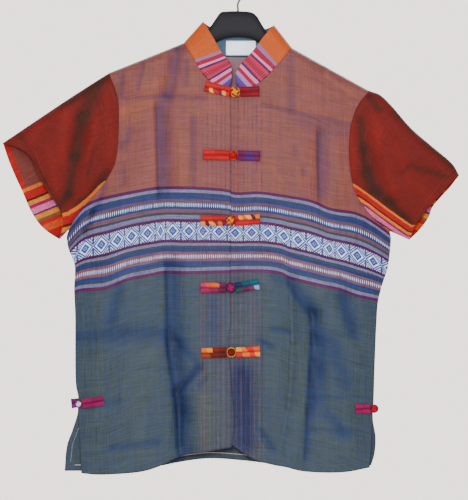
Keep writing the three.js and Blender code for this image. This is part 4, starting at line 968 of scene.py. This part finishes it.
def orange_silk_finish():
    """The collar's outside: plain orange, with stripes and small figures at both front ends."""
    material, tree, shader = new_finish("collar_silk", sheen_weight=0.02, specular_ior_level=0.1)
    place = cut_place(tree)
    run, high = cut_axes(tree, place)
    weft = grain(tree, place, (500, 60, 1), *FINE)
    warp = grain(tree, place, (60, 500, 1), *FINE)
    crossed = weft * 0.6 + warp * 0.4
    plain = ramp(tree, [(0.25, "b94e0e"), (0.5, "a7430a"), (0.75, "8a310f")], crossed, soft=True)
    edge = run / COLLAR_FRONT_RUN + about(grain(tree, place, (200, 50, 1)), 0.02)
    striped = ramp(tree, COLLAR_STRIPES, edge)
    for step, share, start, end, amount, code in COLLAR_FIGURES:
        figure = (high / step % 1.0 < share) * (edge > start) * (edge < end)
        striped = mix(tree, figure * amount, striped, linear(code))
    colour = mix(tree, edge < 1.0, plain, striped)
    colour = tinted(tree, colour, 0.8, crossed, "b0b0b0")
    lay(tree, shader, colour, 0.5 + about(weft, 0.3), weft * 0.4 + warp * 0.4, 0.0007)
    return material


def plain_weave_finish(name, dark, light, scale=500, depth=0.0005, **fixed):
    """A plain cloth of two near tones, its threads crossing at the same scale both ways."""
    material, tree, shader = new_finish(name, **fixed)
    place = cut_place(tree)
    weft = grain(tree, place, (scale, scale / 8, 1), *FINE)
    warp = grain(tree, place, (scale / 8, scale, 1), *FINE)
    crossed = weft * 0.5 + warp * 0.5
    colour = mix(tree, crossed, linear(dark), linear(light))
    lay(tree, shader, colour, 0.5 + about(weft, 0.3), crossed, depth)
    return material


collar_surface, facing_surface = collar_grid(1), collar_grid(-1)
facing_finish = plain_weave_finish("facing_silk", "062c3c", "0c4456", specular_ior_level=0.3)
for name, surface, finish, flat in (
    ("collar", collar_surface, orange_silk_finish(), (0.47, 0.047)),
    ("collar_facing", facing_surface, facing_finish, (0.46, 0.045)),
):
    piece = cloth_mesh(name, surface, collar_maps(surface), flip=True)
    thicken(piece, COLLAR_PLY, finish)
    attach(piece, "root")
    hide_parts(name)
    name.replace("collar_facing", "facing") + "_silk"
    area = cut_area(surface, flat, 4)

LABEL_LEFT, LABEL_RIGHT, LABEL_TOP, LABEL_BOTTOM = -18.4, 29.6, -121.4, -144.5
LABEL_FROM_COLLAR, LABEL_PLY, LABEL_COLUMNS, LABEL_ROWS = 2.8, 0.5, 32, 16
# How deep the label ripples, and how slowly, across and down.
RIPPLE, RIPPLE_ACROSS, RIPPLE_DOWN = 0.25, 7, 8


def label_grid():
    """The label's surface, which leans with the collar and ripples a little."""
    x = np.linspace(LABEL_LEFT, LABEL_RIGHT, LABEL_COLUMNS + 1)[None, :]
    z = np.linspace(LABEL_TOP, LABEL_BOTTOM, LABEL_ROWS + 1)[:, None]
    neck_low, top_low = NECK_BACK_LEFT[-1][1], COLLAR_TOP_LEFT[-1][1]
    lean = 1 - (1 - COLLAR_LEAN) * (z - neck_low) / (top_low - neck_low)
    y = back_y(x, np.full_like(x, neck_low)) * lean - LABEL_FROM_COLLAR
    y = y + RIPPLE * np.sin(x / RIPPLE_ACROSS) * np.sin((z - LABEL_TOP) / RIPPLE_DOWN)
    return np.stack([x + 0 * z, y, z + 0 * x], axis=-1)


label_surface = label_grid()
label = cloth_mesh("label", label_surface, {"cloth": label_surface[..., [0, 2]]})
thicken(label, LABEL_PLY, plain_weave_finish("label_satin", "e2e8ee", "f6f8fa", 900, 0.0002,
                                             specular_ior_level=0.4))
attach(label, "root")
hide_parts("label")

# ---- frog fastenings ------------------------------------------------------------------------------
# Each frog is two tabs of rolled silk strips, folded into a hairpin and slip-stitched down, and a
# knot tied from the same strips, held in the loop of the left tab. Each has its own colours.
TAB_HALF, TAB_THICK, TAB_LIFT = 4.0, 2.0, 0.8
TAB_STEPS, TAB_CORNER, TAB_CORNER_IN, TAB_GROOVE, TAB_FLARE = 24, 1.6, 0.5, 0.25, 0.1
TAB_CORNER_STEPS, TAB_END_LEAST, TAB_CLIMB_LATE, TIP_RINGS, TIP_LEAST = 6, 0.0016, 4, 5, 0.02
TAB_ROUND, TAB_SQUARENESS, GROOVE_SHADE_SHARE, TUBE_SIDES = 6, 0.8, 0.3, 28
# A tab climbs to its knot, and the ball's middle stands this far above the cloth, by its radius.
KNOT_CLIMB, KNOT_REST, KNOT_RISE = 2.5, CLOTH / 2 + 0.85, 0.7
# The knot, by its radius: its core, how flat it is, its strand, and the strand of the loop round it.
KNOT_CORE, KNOT_FLAT, STRAND_WIDE, STRAND_THICK = 0.66, 0.85, 0.25, 0.2
LOOP_REACH, LOOP_UNDER, LOOP_WIDE, LOOP_THICK = 0.98, 0.3, 0.17, 0.22
KNOT_STEPS, LOOP_STEPS, BALL_ROWS, BALL_SIDES = 260, 64, 14, 24
KNOT_TURNS, KNOT_CROSSINGS, KNOT_TILT, KNOT_WEAVE, KNOT_PHASE, BALL_POLE = 3, 4, 62, 0.10, 0.8, 0.02
# How a knot's dyes wind along and round its strand, how far they stray, and how long each one is.
WIND_ALONG, WIND_ROUND, WIND_STRAY, DYE_LONG = 0.75, 0.55, 9, 5.0
# Places in x and z: the far ends of both tabs, and the knot. A tab has a list of dyes for each of its
# two strips, from the knot outwards.
FROGS = [
    {"name": "frog_1", "left": (-52, -196), "knot": (-4, -205), "right": (35, -204), "radius": 7.4,
     "left_dyes": (["b01008", "e08414", "6a1234", "a80c06", "e89420", "8c0a10"], ["a80206", "b00408"]),
     "right_dyes": (["7c020c", "6a0218"], ["700410", "7c020c"]), "knot_dyes": ["c48112", "981007"],
     "loop_dyes": ["b10707", "c47d12"]},
    {"name": "frog_2", "left": (-54.5, -305.5), "knot": (-6.2, -306.4), "right": (36, -307.5),
     "radius": 6.6, "left_dyes": (["b00204", "a40204"], ["9c0204", "b00204"]),
     "right_dyes": (["5c083c", "4a1458", "5c0a40"], ["540c44", "40185c", "5c083c"]),
     "knot_dyes": ["a60705", "8c0605"], "loop_dyes": ["a60707", "b93316"]},
    {"name": "frog_3", "left": (-59, -411), "knot": (-11.2, -410.6), "right": (36, -408), "radius": 7,
     "left_dyes": (["54103c", "c45010", "7c1810", "e08018", "4c1020", "d87820"], ["a20204", "ac0204"]),
     "right_dyes": (["a80204", "e0841c", "c44a10", "e8942c", "5c1018", "c86014"], ["b00204", "a00204"]),
     "knot_dyes": ["b8741a", "9c1c0a", "c88a24"], "loop_dyes": ["a60707", "890608"]},
    {"name": "frog_4", "left": (-59, -517.5), "knot": (-10.9, -517.6), "right": (34.5, -512),
     "radius": 7,
     "left_dyes": (["54062c", "74083c", "8c0c40"], ["5c0838", "c8500c", "c43c14", "a02448"]),
     "right_dyes": (["141c40", "03404c", "044a58"], ["1c3c34", "4c0a3c", "602040", "7488bc"]),
     "knot_dyes": ["890742", "77063d"], "loop_dyes": ["16143b", "201c4b"]},
    {"name": "frog_5", "left": (-57.5, -622), "knot": (-9.8, -620.6), "right": (36, -619), "radius": 7,
     "left_dyes": (["510503", "5c0a04", "8c2408"], ["581004", "6a1206", "d8780c", "c45c08"]),
     "right_dyes": (["e08c18", "d06010", "b81208", "cc4414"], ["b8180a", "d45a14", "c42006", "e07824"]),
     "knot_dyes": ["560605", "700e05"], "loop_dyes": ["c48412", "b56f0f"]},
]
# The side vents are fastened the same way, a little smaller. Way is -1 on the left and 1 on the right,
# the tabs' inner ends lie at inner, and the left vent's tab behind runs past the edge to an x.
VENT_HALF, VENT_THICK = 3.7, 1.5
VENTS = [
    {"name": "vent_left", "knot": (-254.5, -703.8), "inner": (-214, -698),
     "radius": 5, "way": -1, "past": -263, "knot_dyes": ["7e9dbd", "c7c9cc", "486897"],
     "tab_dyes": (["7e0745", "6e073f"], ["720740", "7e0745"]), "loop_dyes": ["890631", "700627"],
     "back_dyes": (["5c0a50", "6e1060"], ["6a0e58", "540848"])},
    {"name": "vent_right", "knot": (219, -711.5), "inner": (189, -712), "radius": 6, "way": 1,
     "past": None, "knot_dyes": ["a30723", "890616"],
     "tab_dyes": (["89063f", "7b0742"], ["7b0742", "89063f"]), "loop_dyes": ["890631", "700627"]},
]


def strand(path, half_wide, half_thick, out):
    """Rings round a path, flattened towards a direction, with rounded ends, and their UVs in mm."""
    way, run = unit(np.gradient(path, axis=0)), run_of(path)
    tips = np.linspace(0, math.pi / 2, TIP_RINGS)[:-1]
    starts = [(path[0] - way[0] * half_wide * math.cos(t), way[0], -half_wide * math.cos(t),
               max(math.sin(t), TIP_LEAST)) for t in tips]
    ends = [(path[-1] + way[-1] * half_wide * math.cos(t), way[-1],
             run[-1] + half_wide * math.cos(t), max(math.sin(t), TIP_LEAST)) for t in tips[::-1]]
    middle = list(zip(path, way, run, np.ones(len(path))))
    angle = np.linspace(0, 2 * math.pi, TUBE_SIDES, endpoint=False)[:, None]
    rings, maps = [], []
    for k, (centre, along_path, distance, size) in enumerate(starts + middle + ends):
        outward = out if out.ndim == 1 else out[min(max(k - len(starts), 0), len(path) - 1)]
        outward = unit(outward - along_path * (outward @ along_path))
        side = np.cross(along_path, outward)
        rings.append(centre + size * (np.cos(angle) * side * half_wide
                                      + np.sin(angle) * outward * half_thick))
        maps.append(np.stack([np.full(TUBE_SIDES, distance), angle[:, 0] * half_wide], axis=1))
    return np.array(rings), {"cloth": np.array(maps)}


def rolled_finish(name, dyes, far_dyes=None, long=None, around=None):
    """A bias strip rolled into a cord: its dyed bands wind round it. A tab's two strips each have
    their own, laid out from the knot along its length."""
    material, tree, shader = new_finish(name, sheen_weight=0.02, specular_ior_level=0.08)
    place = cut_place(tree)
    run, round_it = cut_axes(tree, place)
    wave = grain(tree, place, (90, 90, 1))

    def banded(colours, at):
        return ramp(tree, [(k / len(colours), dye) for k, dye in enumerate(colours)], at)

    if far_dyes:
        beside = abs(round_it - around / 2) / around
        at = run / long + (beside - 0.25) * 0.5 + about(wave, 0.35)
        bands = mix(tree, beside < 0.25, banded(dyes, at), banded(far_dyes, at))
    else:
        wound = run * WIND_ALONG + round_it * WIND_ROUND + wave * WIND_STRAY
        bands = banded(dyes, wound / (DYE_LONG * len(dyes)) % 1.0)
    threads = grain(tree, place, (1500, 900, 1), *FINE)
    colour = tinted(tree, bands, 0.8, threads, "8c8c8c")
    # Painted shade along the groove where the tab's two strips meet.
    colour = mix(tree, point_value(tree, "groove") * 0.75, colour, linear("50303c"), "MULTIPLY")
    lay(tree, shader, colour, 0.48 + about(threads, 0.3), threads * 0.5 + wave * 0.5, 0.0005)
    return material


def squared(values, squareness):
    """Values from -1 to 1, spread out towards their ends as on the sides of a rounded square."""
    return np.sign(values) * np.abs(values) ** squareness


def tab_rings(inner, outer, cloth_y, facing, climb, half, thick):
    """Rings of a tab that runs out along the cloth: two strips side by side, square at both ends."""
    inner, outer = np.array(inner, float), np.array(outer, float)
    length = np.linalg.norm(outer - inner)
    way = (outer - inner) / length
    side = np.array([-way[1], way[0]])
    ease = TAB_CORNER * (1 - np.cos(np.linspace(0, math.pi / 2, TAB_CORNER_STEPS)))
    ahead = np.concatenate([ease, np.linspace(TAB_CORNER, length - TAB_CORNER, TAB_STEPS + 1)[1:-1],
                            length - ease[::-1]])
    near_end = np.clip(np.minimum(ahead, length - ahead) / TAB_CORNER, 0, 1)
    round_end = np.sqrt(np.clip(1 - (1 - near_end) ** 2, TAB_END_LEAST, 1))
    pinch = 1 + TAB_FLARE * np.clip((ahead - length + 3 * TAB_CORNER) / (3 * TAB_CORNER), 0, 1)
    angle = np.linspace(0, 2 * math.pi, TUBE_SIDES, endpoint=False)
    across = squared(np.cos(angle), TAB_SQUARENESS)
    strip = np.sqrt(np.clip(1 - (2 * np.abs(across) - 1) ** 2, 0, 1))
    bulge = np.sign(np.sin(angle)) * np.maximum(strip, TAB_GROOVE * (1 - across ** 8))
    wide = across[None] * (2 * half * pinch * (1 - TAB_CORNER_IN * (1 - round_end) / half))[:, None]
    flat = inner + ahead[:, None, None] * way + wide[..., None] * side
    climbing = climb * np.clip(1 - ahead / length, 0, 1) ** TAB_CLIMB_LATE
    lift = (CLOTH / 2 + TAB_LIFT + thick + climbing)[:, None]
    y = cloth_y(flat[..., 0], flat[..., 1]) + facing * (lift + bulge[None] * thick * round_end[:, None])
    rings = np.stack([flat[..., 0], y, flat[..., 1]], axis=-1)
    turned = angle / (2 * math.pi) * half * TAB_ROUND
    # A mask for painted shade in the groove where the two strips meet.
    groove = np.clip(1 - np.abs(across) / GROOVE_SHADE_SHARE, 0, 1)[None] + 0 * wide
    return rings, {"cloth": np.stack([ahead[:, None] + 0 * wide, turned[None] + 0 * wide], axis=-1),
                   "groove": groove}


def finish_fastening(piece, node, material):
    """A fastening's finish and its place in the part. The node is None where another piece has it."""
    piece.data.materials.append(material)
    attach(piece, "root")
    if node:
        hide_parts(node)


def make_tab(node, inner, outer, cloth_y, facing, climb, dyes, half=TAB_HALF, thick=TAB_THICK):
    """A tab from its knot out to its far end, on the face of a cloth."""
    rings, maps = tab_rings(inner, outer, cloth_y, facing, climb, half, thick)
    turned = (outer[0] - inner[0]) * facing > 0
    piece = cloth_mesh(node, rings, maps, around=True, flip=turned)
    finish = rolled_finish(node + "_silk", *dyes, math.dist(inner, outer), half * TAB_ROUND)
    finish_fastening(piece, node, finish)


def knot_path(centre, radius):
    """A strand that weaves over and under itself round a small ball, and the way out from it."""
    t = np.linspace(0, 2 * math.pi, KNOT_STEPS, endpoint=False)
    lon, lat = KNOT_TURNS * t, math.radians(KNOT_TILT) * np.sin(KNOT_CROSSINGS * t)
    reach = radius * (1 + KNOT_WEAVE * np.cos(2 * KNOT_CROSSINGS * t + KNOT_PHASE))
    way = np.stack([np.cos(lat) * np.cos(lon), -np.sin(lat), np.cos(lat) * np.sin(lon)], axis=1)
    return centre + way * reach[:, None] * np.array([1, KNOT_FLAT, 1]), way


def make_knot(node, centre, radius, knot_dyes, loop_dyes):
    """The ball of the knot, with the loop that it is pushed through lying round it."""
    core = radius * KNOT_CORE
    path, out = knot_path(centre, core)
    rings, maps = strand(np.vstack([path, path[:1]]), radius * STRAND_WIDE, radius * STRAND_THICK,
                         np.vstack([out, out[:1]]))
    piece = cloth_mesh(node, rings, maps, around=True)
    finish_fastening(piece, node, rolled_finish(node + "_silk", knot_dyes))
    lat = np.linspace(BALL_POLE, math.pi - BALL_POLE, BALL_ROWS)[:, None]
    lon = np.linspace(0, 2 * math.pi, BALL_SIDES, endpoint=False)[None, :]
    sphere = np.stack([np.sin(lat) * np.cos(lon), -np.cos(lat) + 0 * lon, np.sin(lat) * np.sin(lon)],
                      axis=-1) * core * np.array([1, KNOT_FLAT, 1]) + centre
    sphere_maps = {"cloth": np.stack([lon * core + 0 * lat, lat * core + 0 * lon], axis=-1)}
    filler = cloth_mesh(node + "_ball", sphere, sphere_maps, around=True)
    finish_fastening(filler, None, rolled_finish(node + "_ball_silk", knot_dyes))
    turn = np.linspace(0, 2 * math.pi, LOOP_STEPS)
    loop = np.stack([centre[0] + radius * LOOP_REACH * np.cos(turn),
                     np.full(LOOP_STEPS, centre[1] + radius * LOOP_UNDER),
                     centre[2] + radius * LOOP_REACH * np.sin(turn)], axis=1)
    rings, maps = strand(loop, radius * LOOP_WIDE, radius * LOOP_THICK, np.array([0, -1.0, 0]))
    loop_name = node.replace("knot", "loop")
    eye = cloth_mesh(loop_name, rings, maps, around=True)
    finish_fastening(eye, None, rolled_finish(loop_name + "_silk", loop_dyes))


for frog in FROGS:
    name, (x, z), radius = frog["name"], frog["knot"], frog["radius"]
    clear = radius + SEAM
    make_tab(name + "_left", (x - clear, z), frog["left"], front_left_y, -1, KNOT_CLIMB,
             frog["left_dyes"])
    make_tab(name + "_right", (x + clear, z), frog["right"], front_right_y, -1,
             KNOT_CLIMB + TUCK_DEPTH, frog["right_dyes"])
    middle = np.array([x, float(front_left_y(x, z)) - KNOT_REST - radius * KNOT_RISE, z])
    make_knot(name + "_knot", middle, radius, frog["knot_dyes"], frog["loop_dyes"])

for vent in VENTS:
    name, (x, z), radius, way = vent["name"], vent["knot"], vent["radius"], vent["way"]
    cloth_y = front_left_y if way < 0 else front_right_y
    make_tab(name + "_front", (x - way * (radius + SEAM), z), vent["inner"], cloth_y, -1, KNOT_CLIMB,
             vent["tab_dyes"], VENT_HALF, VENT_THICK)
    if vent["past"]:
        make_tab(name + "_back", vent["inner"], (vent["past"] - VENT_HALF, z), back_y, 1, 0,
                 vent["back_dyes"], VENT_HALF, VENT_THICK)
    middle = np.array([x, float(cloth_y(x - way * radius, z)) - KNOT_REST - radius * KNOT_RISE, z])
    make_knot(name + "_knot", middle, radius, vent["knot_dyes"], vent["loop_dyes"])

# ---- hanger ---------------------------------------------------------------------------------------
# A moulded arm of black plastic under the shoulders, smooth and rounded all along, and a bent steel
# wire pressed into it for the hook.
# The arm: x, its top, its underside and its half depth. Where it has no top, it follows the shoulder.
HANGER = [(-200, None, -186, 6), (-170, None, -178.5, 7), (-140, None, -170.5, 7),
          (-84, -133.5, -153.4, 6.5), (-55.2, -112, -137.4, 6.5), (-43, -98.5, -130.2, 6.5),
          (-34.4, -85.9, -124.8, 6.5), (-26.5, -76.2, -121, 6.5), (-18, -74.9, -118.5, 6.5),
          (0, -74.4, -116.6, 6.5), (23.2, -76.6, -119.6, 6.5), (31.2, -82.7, -124.4, 6.5),
          (35.4, -89.4, -126, 6.5), (44, -103.2, -131, 6.5), (60, -121, -142.2, 6.5),
          (84.8, -141, -161.4, 6.5), (140, None, -189.5, 7), (175, None, -206, 7),
          (204, None, -218, 6)]
ARM_BELOW_SEAM, ARM_SIDES, ARM_STEPS, ARM_SQUARENESS = 2, 28, 160, 0.8
# The arm's rounded ends: how long, the shares of that at which they have a ring, and the last's size.
ARM_END, ARM_END_RINGS, ARM_TIP = 3.0, (0.4, 0.7, 0.9, 1.0), 0.02
HOOK_RADIUS, CROOK_RADIUS, HOOK_STEM, HOOK_STEPS = 1.6, 24, 0.8, 140
STEM_HEIGHTS, CROOK_START, CROOK_END, CROOK_STEP = (-84, -73, -62), -50, 201, 25


def arm_grid():
    """Rings along the arm from its left end to its right one, closed in a little at both."""
    arm = along([(x, float(shoulder_height(x)) - ARM_BELOW_SEAM if top is None else top, low, deep)
                 for x, top, low, deep in HANGER], ARM_STEPS)
    swing = np.linspace(0, 2 * math.pi, ARM_SIDES, endpoint=False)[None, :]
    middle, half = (arm[:, 1] + arm[:, 2]) / 2, (arm[:, 1] - arm[:, 2]) / 2
    rings = np.stack([arm[:, :1] + 0 * swing,
                      squared(np.sin(swing), ARM_SQUARENESS) * arm[:, 3:],
                      middle[:, None] + squared(np.cos(swing), ARM_SQUARENESS) * half[:, None]],
                     axis=-1)
    ends = []
    for ring, way in ((rings[0], -1), (rings[-1], 1)):
        centre = ring.mean(axis=0)
        ends.append(np.array([centre + (ring - centre) * max(math.sqrt(1 - k * k), ARM_TIP)
                              + np.array([way * ARM_END * k, 0, 0]) for k in ARM_END_RINGS]))
    return np.concatenate([ends[0][::-1], rings, ends[1]])


def moulded_finish():
    """Nearly black plastic, faintly clouded and scuffed."""
    material, tree, shader = new_finish("hanger_plastic", specular_ior_level=0.12)
    place = solid_place(tree)
    cloud = noise(tree, place, 22.0, 3.0)
    scuffs = grain(tree, place, (60, 60, 900), 3.0) > 0.68
    colour = mix(tree, cloud, linear("100e12"), linear("171418"))
    colour = mix(tree, scuffs * 0.2, colour, linear("2a282c"))
    lay(tree, shader, colour, 0.5 + cloud * 0.12 + scuffs * 0.1, noise(tree, place, 900.0), 0.00015)
    return material


def wire_finish():
    """Dull drawn steel."""
    material, tree, shader = new_finish("hook_steel", metallic=1.0)
    place = solid_place(tree)
    cloud = noise(tree, place, 60.0, 3.0)
    drawn = grain(tree, place, (900, 900, 60))
    lay(tree, shader, mix(tree, cloud, linear("3c3c3e"), linear("5c5c5e")), 0.38 + cloud * 0.2,
        drawn, 0.00008)
    return material


hanger = cloth_mesh("hanger_arm", arm_grid(), {}, around=True)
hook_path = [(HOOK_STEM, 0, z) for z in STEM_HEIGHTS]
for degrees in range(CROOK_START, CROOK_END, CROOK_STEP):
    angle = math.radians(degrees)
    hook_path.append((CROOK_RADIUS * math.cos(angle), 0,
                      HOOK_RADIUS - CROOK_RADIUS + CROOK_RADIUS * math.sin(angle)))
wire = strand(along(hook_path, HOOK_STEPS), HOOK_RADIUS, HOOK_RADIUS, np.array([0, 1.0, 0]))[0]
hook = cloth_mesh("hook_wire", wire, {}, around=True)
for piece, node, slot, finish in ((hanger, "hanger_body", "hanger_plastic", moulded_finish()),
                                  (hook, "hanger_hook", "hook_steel", wire_finish())):
    piece.data.materials.append(finish)
    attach(piece, "root")
    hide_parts(node)

# ---- stitching ------------------------------------------------------------------------------------
# Thread that shows: a line down each front where its facing is caught, the turned hems, the cuffs
# and the foot of the collar. Short stitches of spun silk, each a little apart from the next.
STITCH_LONG, STITCH_STEP, THREAD_RADIUS, THREAD_OUT, STITCH_SIDES = 2.0, 3.1, 0.22, 0.12, 6
HEM_WIDE, VENT_HEM, VENT_TOP, VENT_LOW = 12.8, 8.5, -716, -796
EDGE_STEP, EDGE_RADIUS, EDGE_ABOVE = 1.5, 0.8, 9.5
# The facings' lines of stitches: x at their top and foot, then the heights of both.
FACING_LEFT, FACING_RIGHT = (-60, -58, -216, -770), (40.8, 42, -216, -785)
# The row of a sleeve that the cuff's stitches follow, and the row above the foot of the collar.
CUFF_ROW, FOOT_ROW = round(SLEEVE_REACH * 0.93), -4
FACING_STEPS, HEM_STEPS, VENT_STEPS = 240, 200, 60
# Where the hems' stitches start and end, and those of the raw edge on the back's inner side.
HEM_LEFT_ENDS, HEM_RIGHT_ENDS, HEM_BACK_ENDS, EDGE_ENDS = (-246, -10), (-10, 208), (-270, 210), (-262, 204)


def stitch_tree():
    """A node tree that sets one stitch after another along a line of edges."""
    tree = bpy.data.node_groups.new("running_stitch", "GeometryNodeTree")
    for name, kind in (("Line", "Geometry"), ("Step", "Float"), ("Length", "Float"),
                       ("Radius", "Float"), ("Thread", "Material")):
        tree.interface.new_socket(name, in_out="INPUT", socket_type="NodeSocket" + kind)
    tree.interface.new_socket("Stitches", in_out="OUTPUT", socket_type="NodeSocketGeometry")
    given = tree.nodes.new("NodeGroupInput")
    line, step, length, radius, thread = [Shade(tree, output) for output in given.outputs[:5]]
    curve = add_node(tree, "GeometryNodeMeshToCurve", {}, {"Mesh": line})
    points = add_node(tree, "GeometryNodeResampleCurve", {"mode": "LENGTH"},
                      {"Curve": curve, "Length": step})
    way = add_node(tree, "GeometryNodeInputTangent")
    turned = add_node(tree, "FunctionNodeAlignRotationToVector", {"axis": "Z"}, {"Vector": way})
    bar = add_node(tree, "GeometryNodeMeshUVSphere", {},
                   {"Segments": STITCH_SIDES, "Rings": STITCH_SIDES, "Radius": 1.0})
    size = add_node(tree, "ShaderNodeCombineXYZ", {}, {0: radius, 1: radius, 2: length * 0.5})
    placed = add_node(tree, "GeometryNodeInstanceOnPoints", {},
                      {"Points": points, "Instance": bar, "Rotation": turned, "Scale": size})
    solid = add_node(tree, "GeometryNodeRealizeInstances", {}, {"Geometry": placed})
    dyed = add_node(tree, "GeometryNodeSetMaterial", {}, {"Geometry": solid, "Material": thread})
    result = tree.nodes.new("NodeGroupOutput")
    tree.links.new(dyed.socket, result.inputs[0])
    return tree


def thread_finish(name, dark, light):
    """Twisted thread of two near tones."""
    material, tree, shader = new_finish(name, sheen_weight=0.1, specular_ior_level=0.25)
    place = solid_place(tree)
    ply = grain(tree, place, (1800, 1800, 1800))
    lay(tree, shader, mix(tree, ply, linear(dark), linear(light)), 0.4 + ply * 0.25, ply, 0.0001)
    return material


def sew(name, lines, finish, closed=False, step=STITCH_STEP, radius=THREAD_RADIUS):
    """A piece of stitches along each of some lines of points in millimetres."""
    points, edges = [], []
    for line in lines:
        first = len(points)
        points += (np.asarray(line) * MM).tolist()
        edges += [(k, k + 1) for k in range(first, len(points) - 1)]
        if closed:
            edges.append((len(points) - 1, first))
    mesh = bpy.data.meshes.new(name)
    mesh.from_pydata(points, edges, [])
    piece = new_object(name, mesh)
    modifier = piece.modifiers.new("stitches", "NODES")
    modifier.node_group = running_stitch
    given = {item.name: item.identifier for item in running_stitch.interface.items_tree
             if item.in_out == "INPUT"}
    for key, value in (("Step", step * MM), ("Length", STITCH_LONG * MM), ("Radius", radius * MM),
                       ("Thread", finish)):
        modifier[given[key]] = value
    bpy.context.view_layer.update()
    seen_piece = piece.evaluated_get(bpy.context.evaluated_depsgraph_get())
    piece.data = bpy.data.meshes.new_from_object(seen_piece)
    piece.modifiers.clear()
    piece.data.polygons.foreach_set("use_smooth", [True] * len(piece.data.polygons))
    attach(piece, "root")


def on_cloth(x, z, height, facing):
    """Points where thread lies on the face of a cloth."""
    return np.stack([x, height(x, z) + facing * (CLOTH / 2 + THREAD_OUT), z], axis=1)


def down_front(x_top, x_low, top, low, height):
    """A line of stitches down a front, where its facing is caught."""
    return on_cloth(np.linspace(x_top, x_low, FACING_STEPS), np.linspace(top, low, FACING_STEPS),
                    height, -1)


def above_hem(hem, height, facing, ends, above=HEM_WIDE):
    """A line of stitches a little above a hem, between two ends in x."""
    x, z = along(hem, HEM_STEPS).T
    within = (x > ends[0]) & (x < ends[1])
    return on_cloth(x[within], z[within] + above, height, facing)


def beside_vent(side, in_by, facing):
    """A line of stitches beside the back's edge at a vent."""
    z = np.linspace(VENT_TOP, VENT_LOW, VENT_STEPS)
    return on_cloth(edge_at(side, z) + in_by * VENT_HEM, z, back_y, facing)


running_stitch = stitch_tree()
sew("facing_stitches", [down_front(*FACING_LEFT, front_left_y),
                        down_front(*FACING_RIGHT, front_right_y)],
    thread_finish("plum_thread", "4a2440", "6a3a5c"))
sew("front_hem_stitches", [above_hem(HEM_LEFT, front_left_y, -1, HEM_LEFT_ENDS),
                           above_hem(HEM_RIGHT, front_right_y, -1, HEM_RIGHT_ENDS)],
    thread_finish("blue_thread", "2c3450", "485472"))
sew("back_hem_stitches", [above_hem(HEM_BACK, back_y, 1, HEM_BACK_ENDS)]
    + [beside_vent(side, in_by, facing) for side, in_by in ((SIDE_BACK_LEFT, 1), (SIDE_BACK_RIGHT, -1))
       for facing in (-1, 1)], thread_finish("pale_thread", "a8a098", "d0cac0"))
sew("back_hem_edge", [above_hem(HEM_BACK, back_y, -1, EDGE_ENDS, EDGE_ABOVE)],
    thread_finish("edge_thread", "8c7c78", "b09c96"), step=EDGE_STEP, radius=EDGE_RADIUS)
sew("cuff_stitches", [offset_grid(ring, side * (CLOTH / 2 + THREAD_OUT))[CUFF_ROW]
                      for ring, side in ((sleeve_grids["sleeve_left"], 1),
                                         (sleeve_grids["sleeve_right"], -1))],
    thread_finish("red_thread", "5c1410", "8c2018"), closed=True)
sew("collar_stitches", [offset_grid(collar_surface, COLLAR_PLY / 2 + THREAD_OUT)[FOOT_ROW]],
    thread_finish("orange_thread", "a04c20", "c87030"))
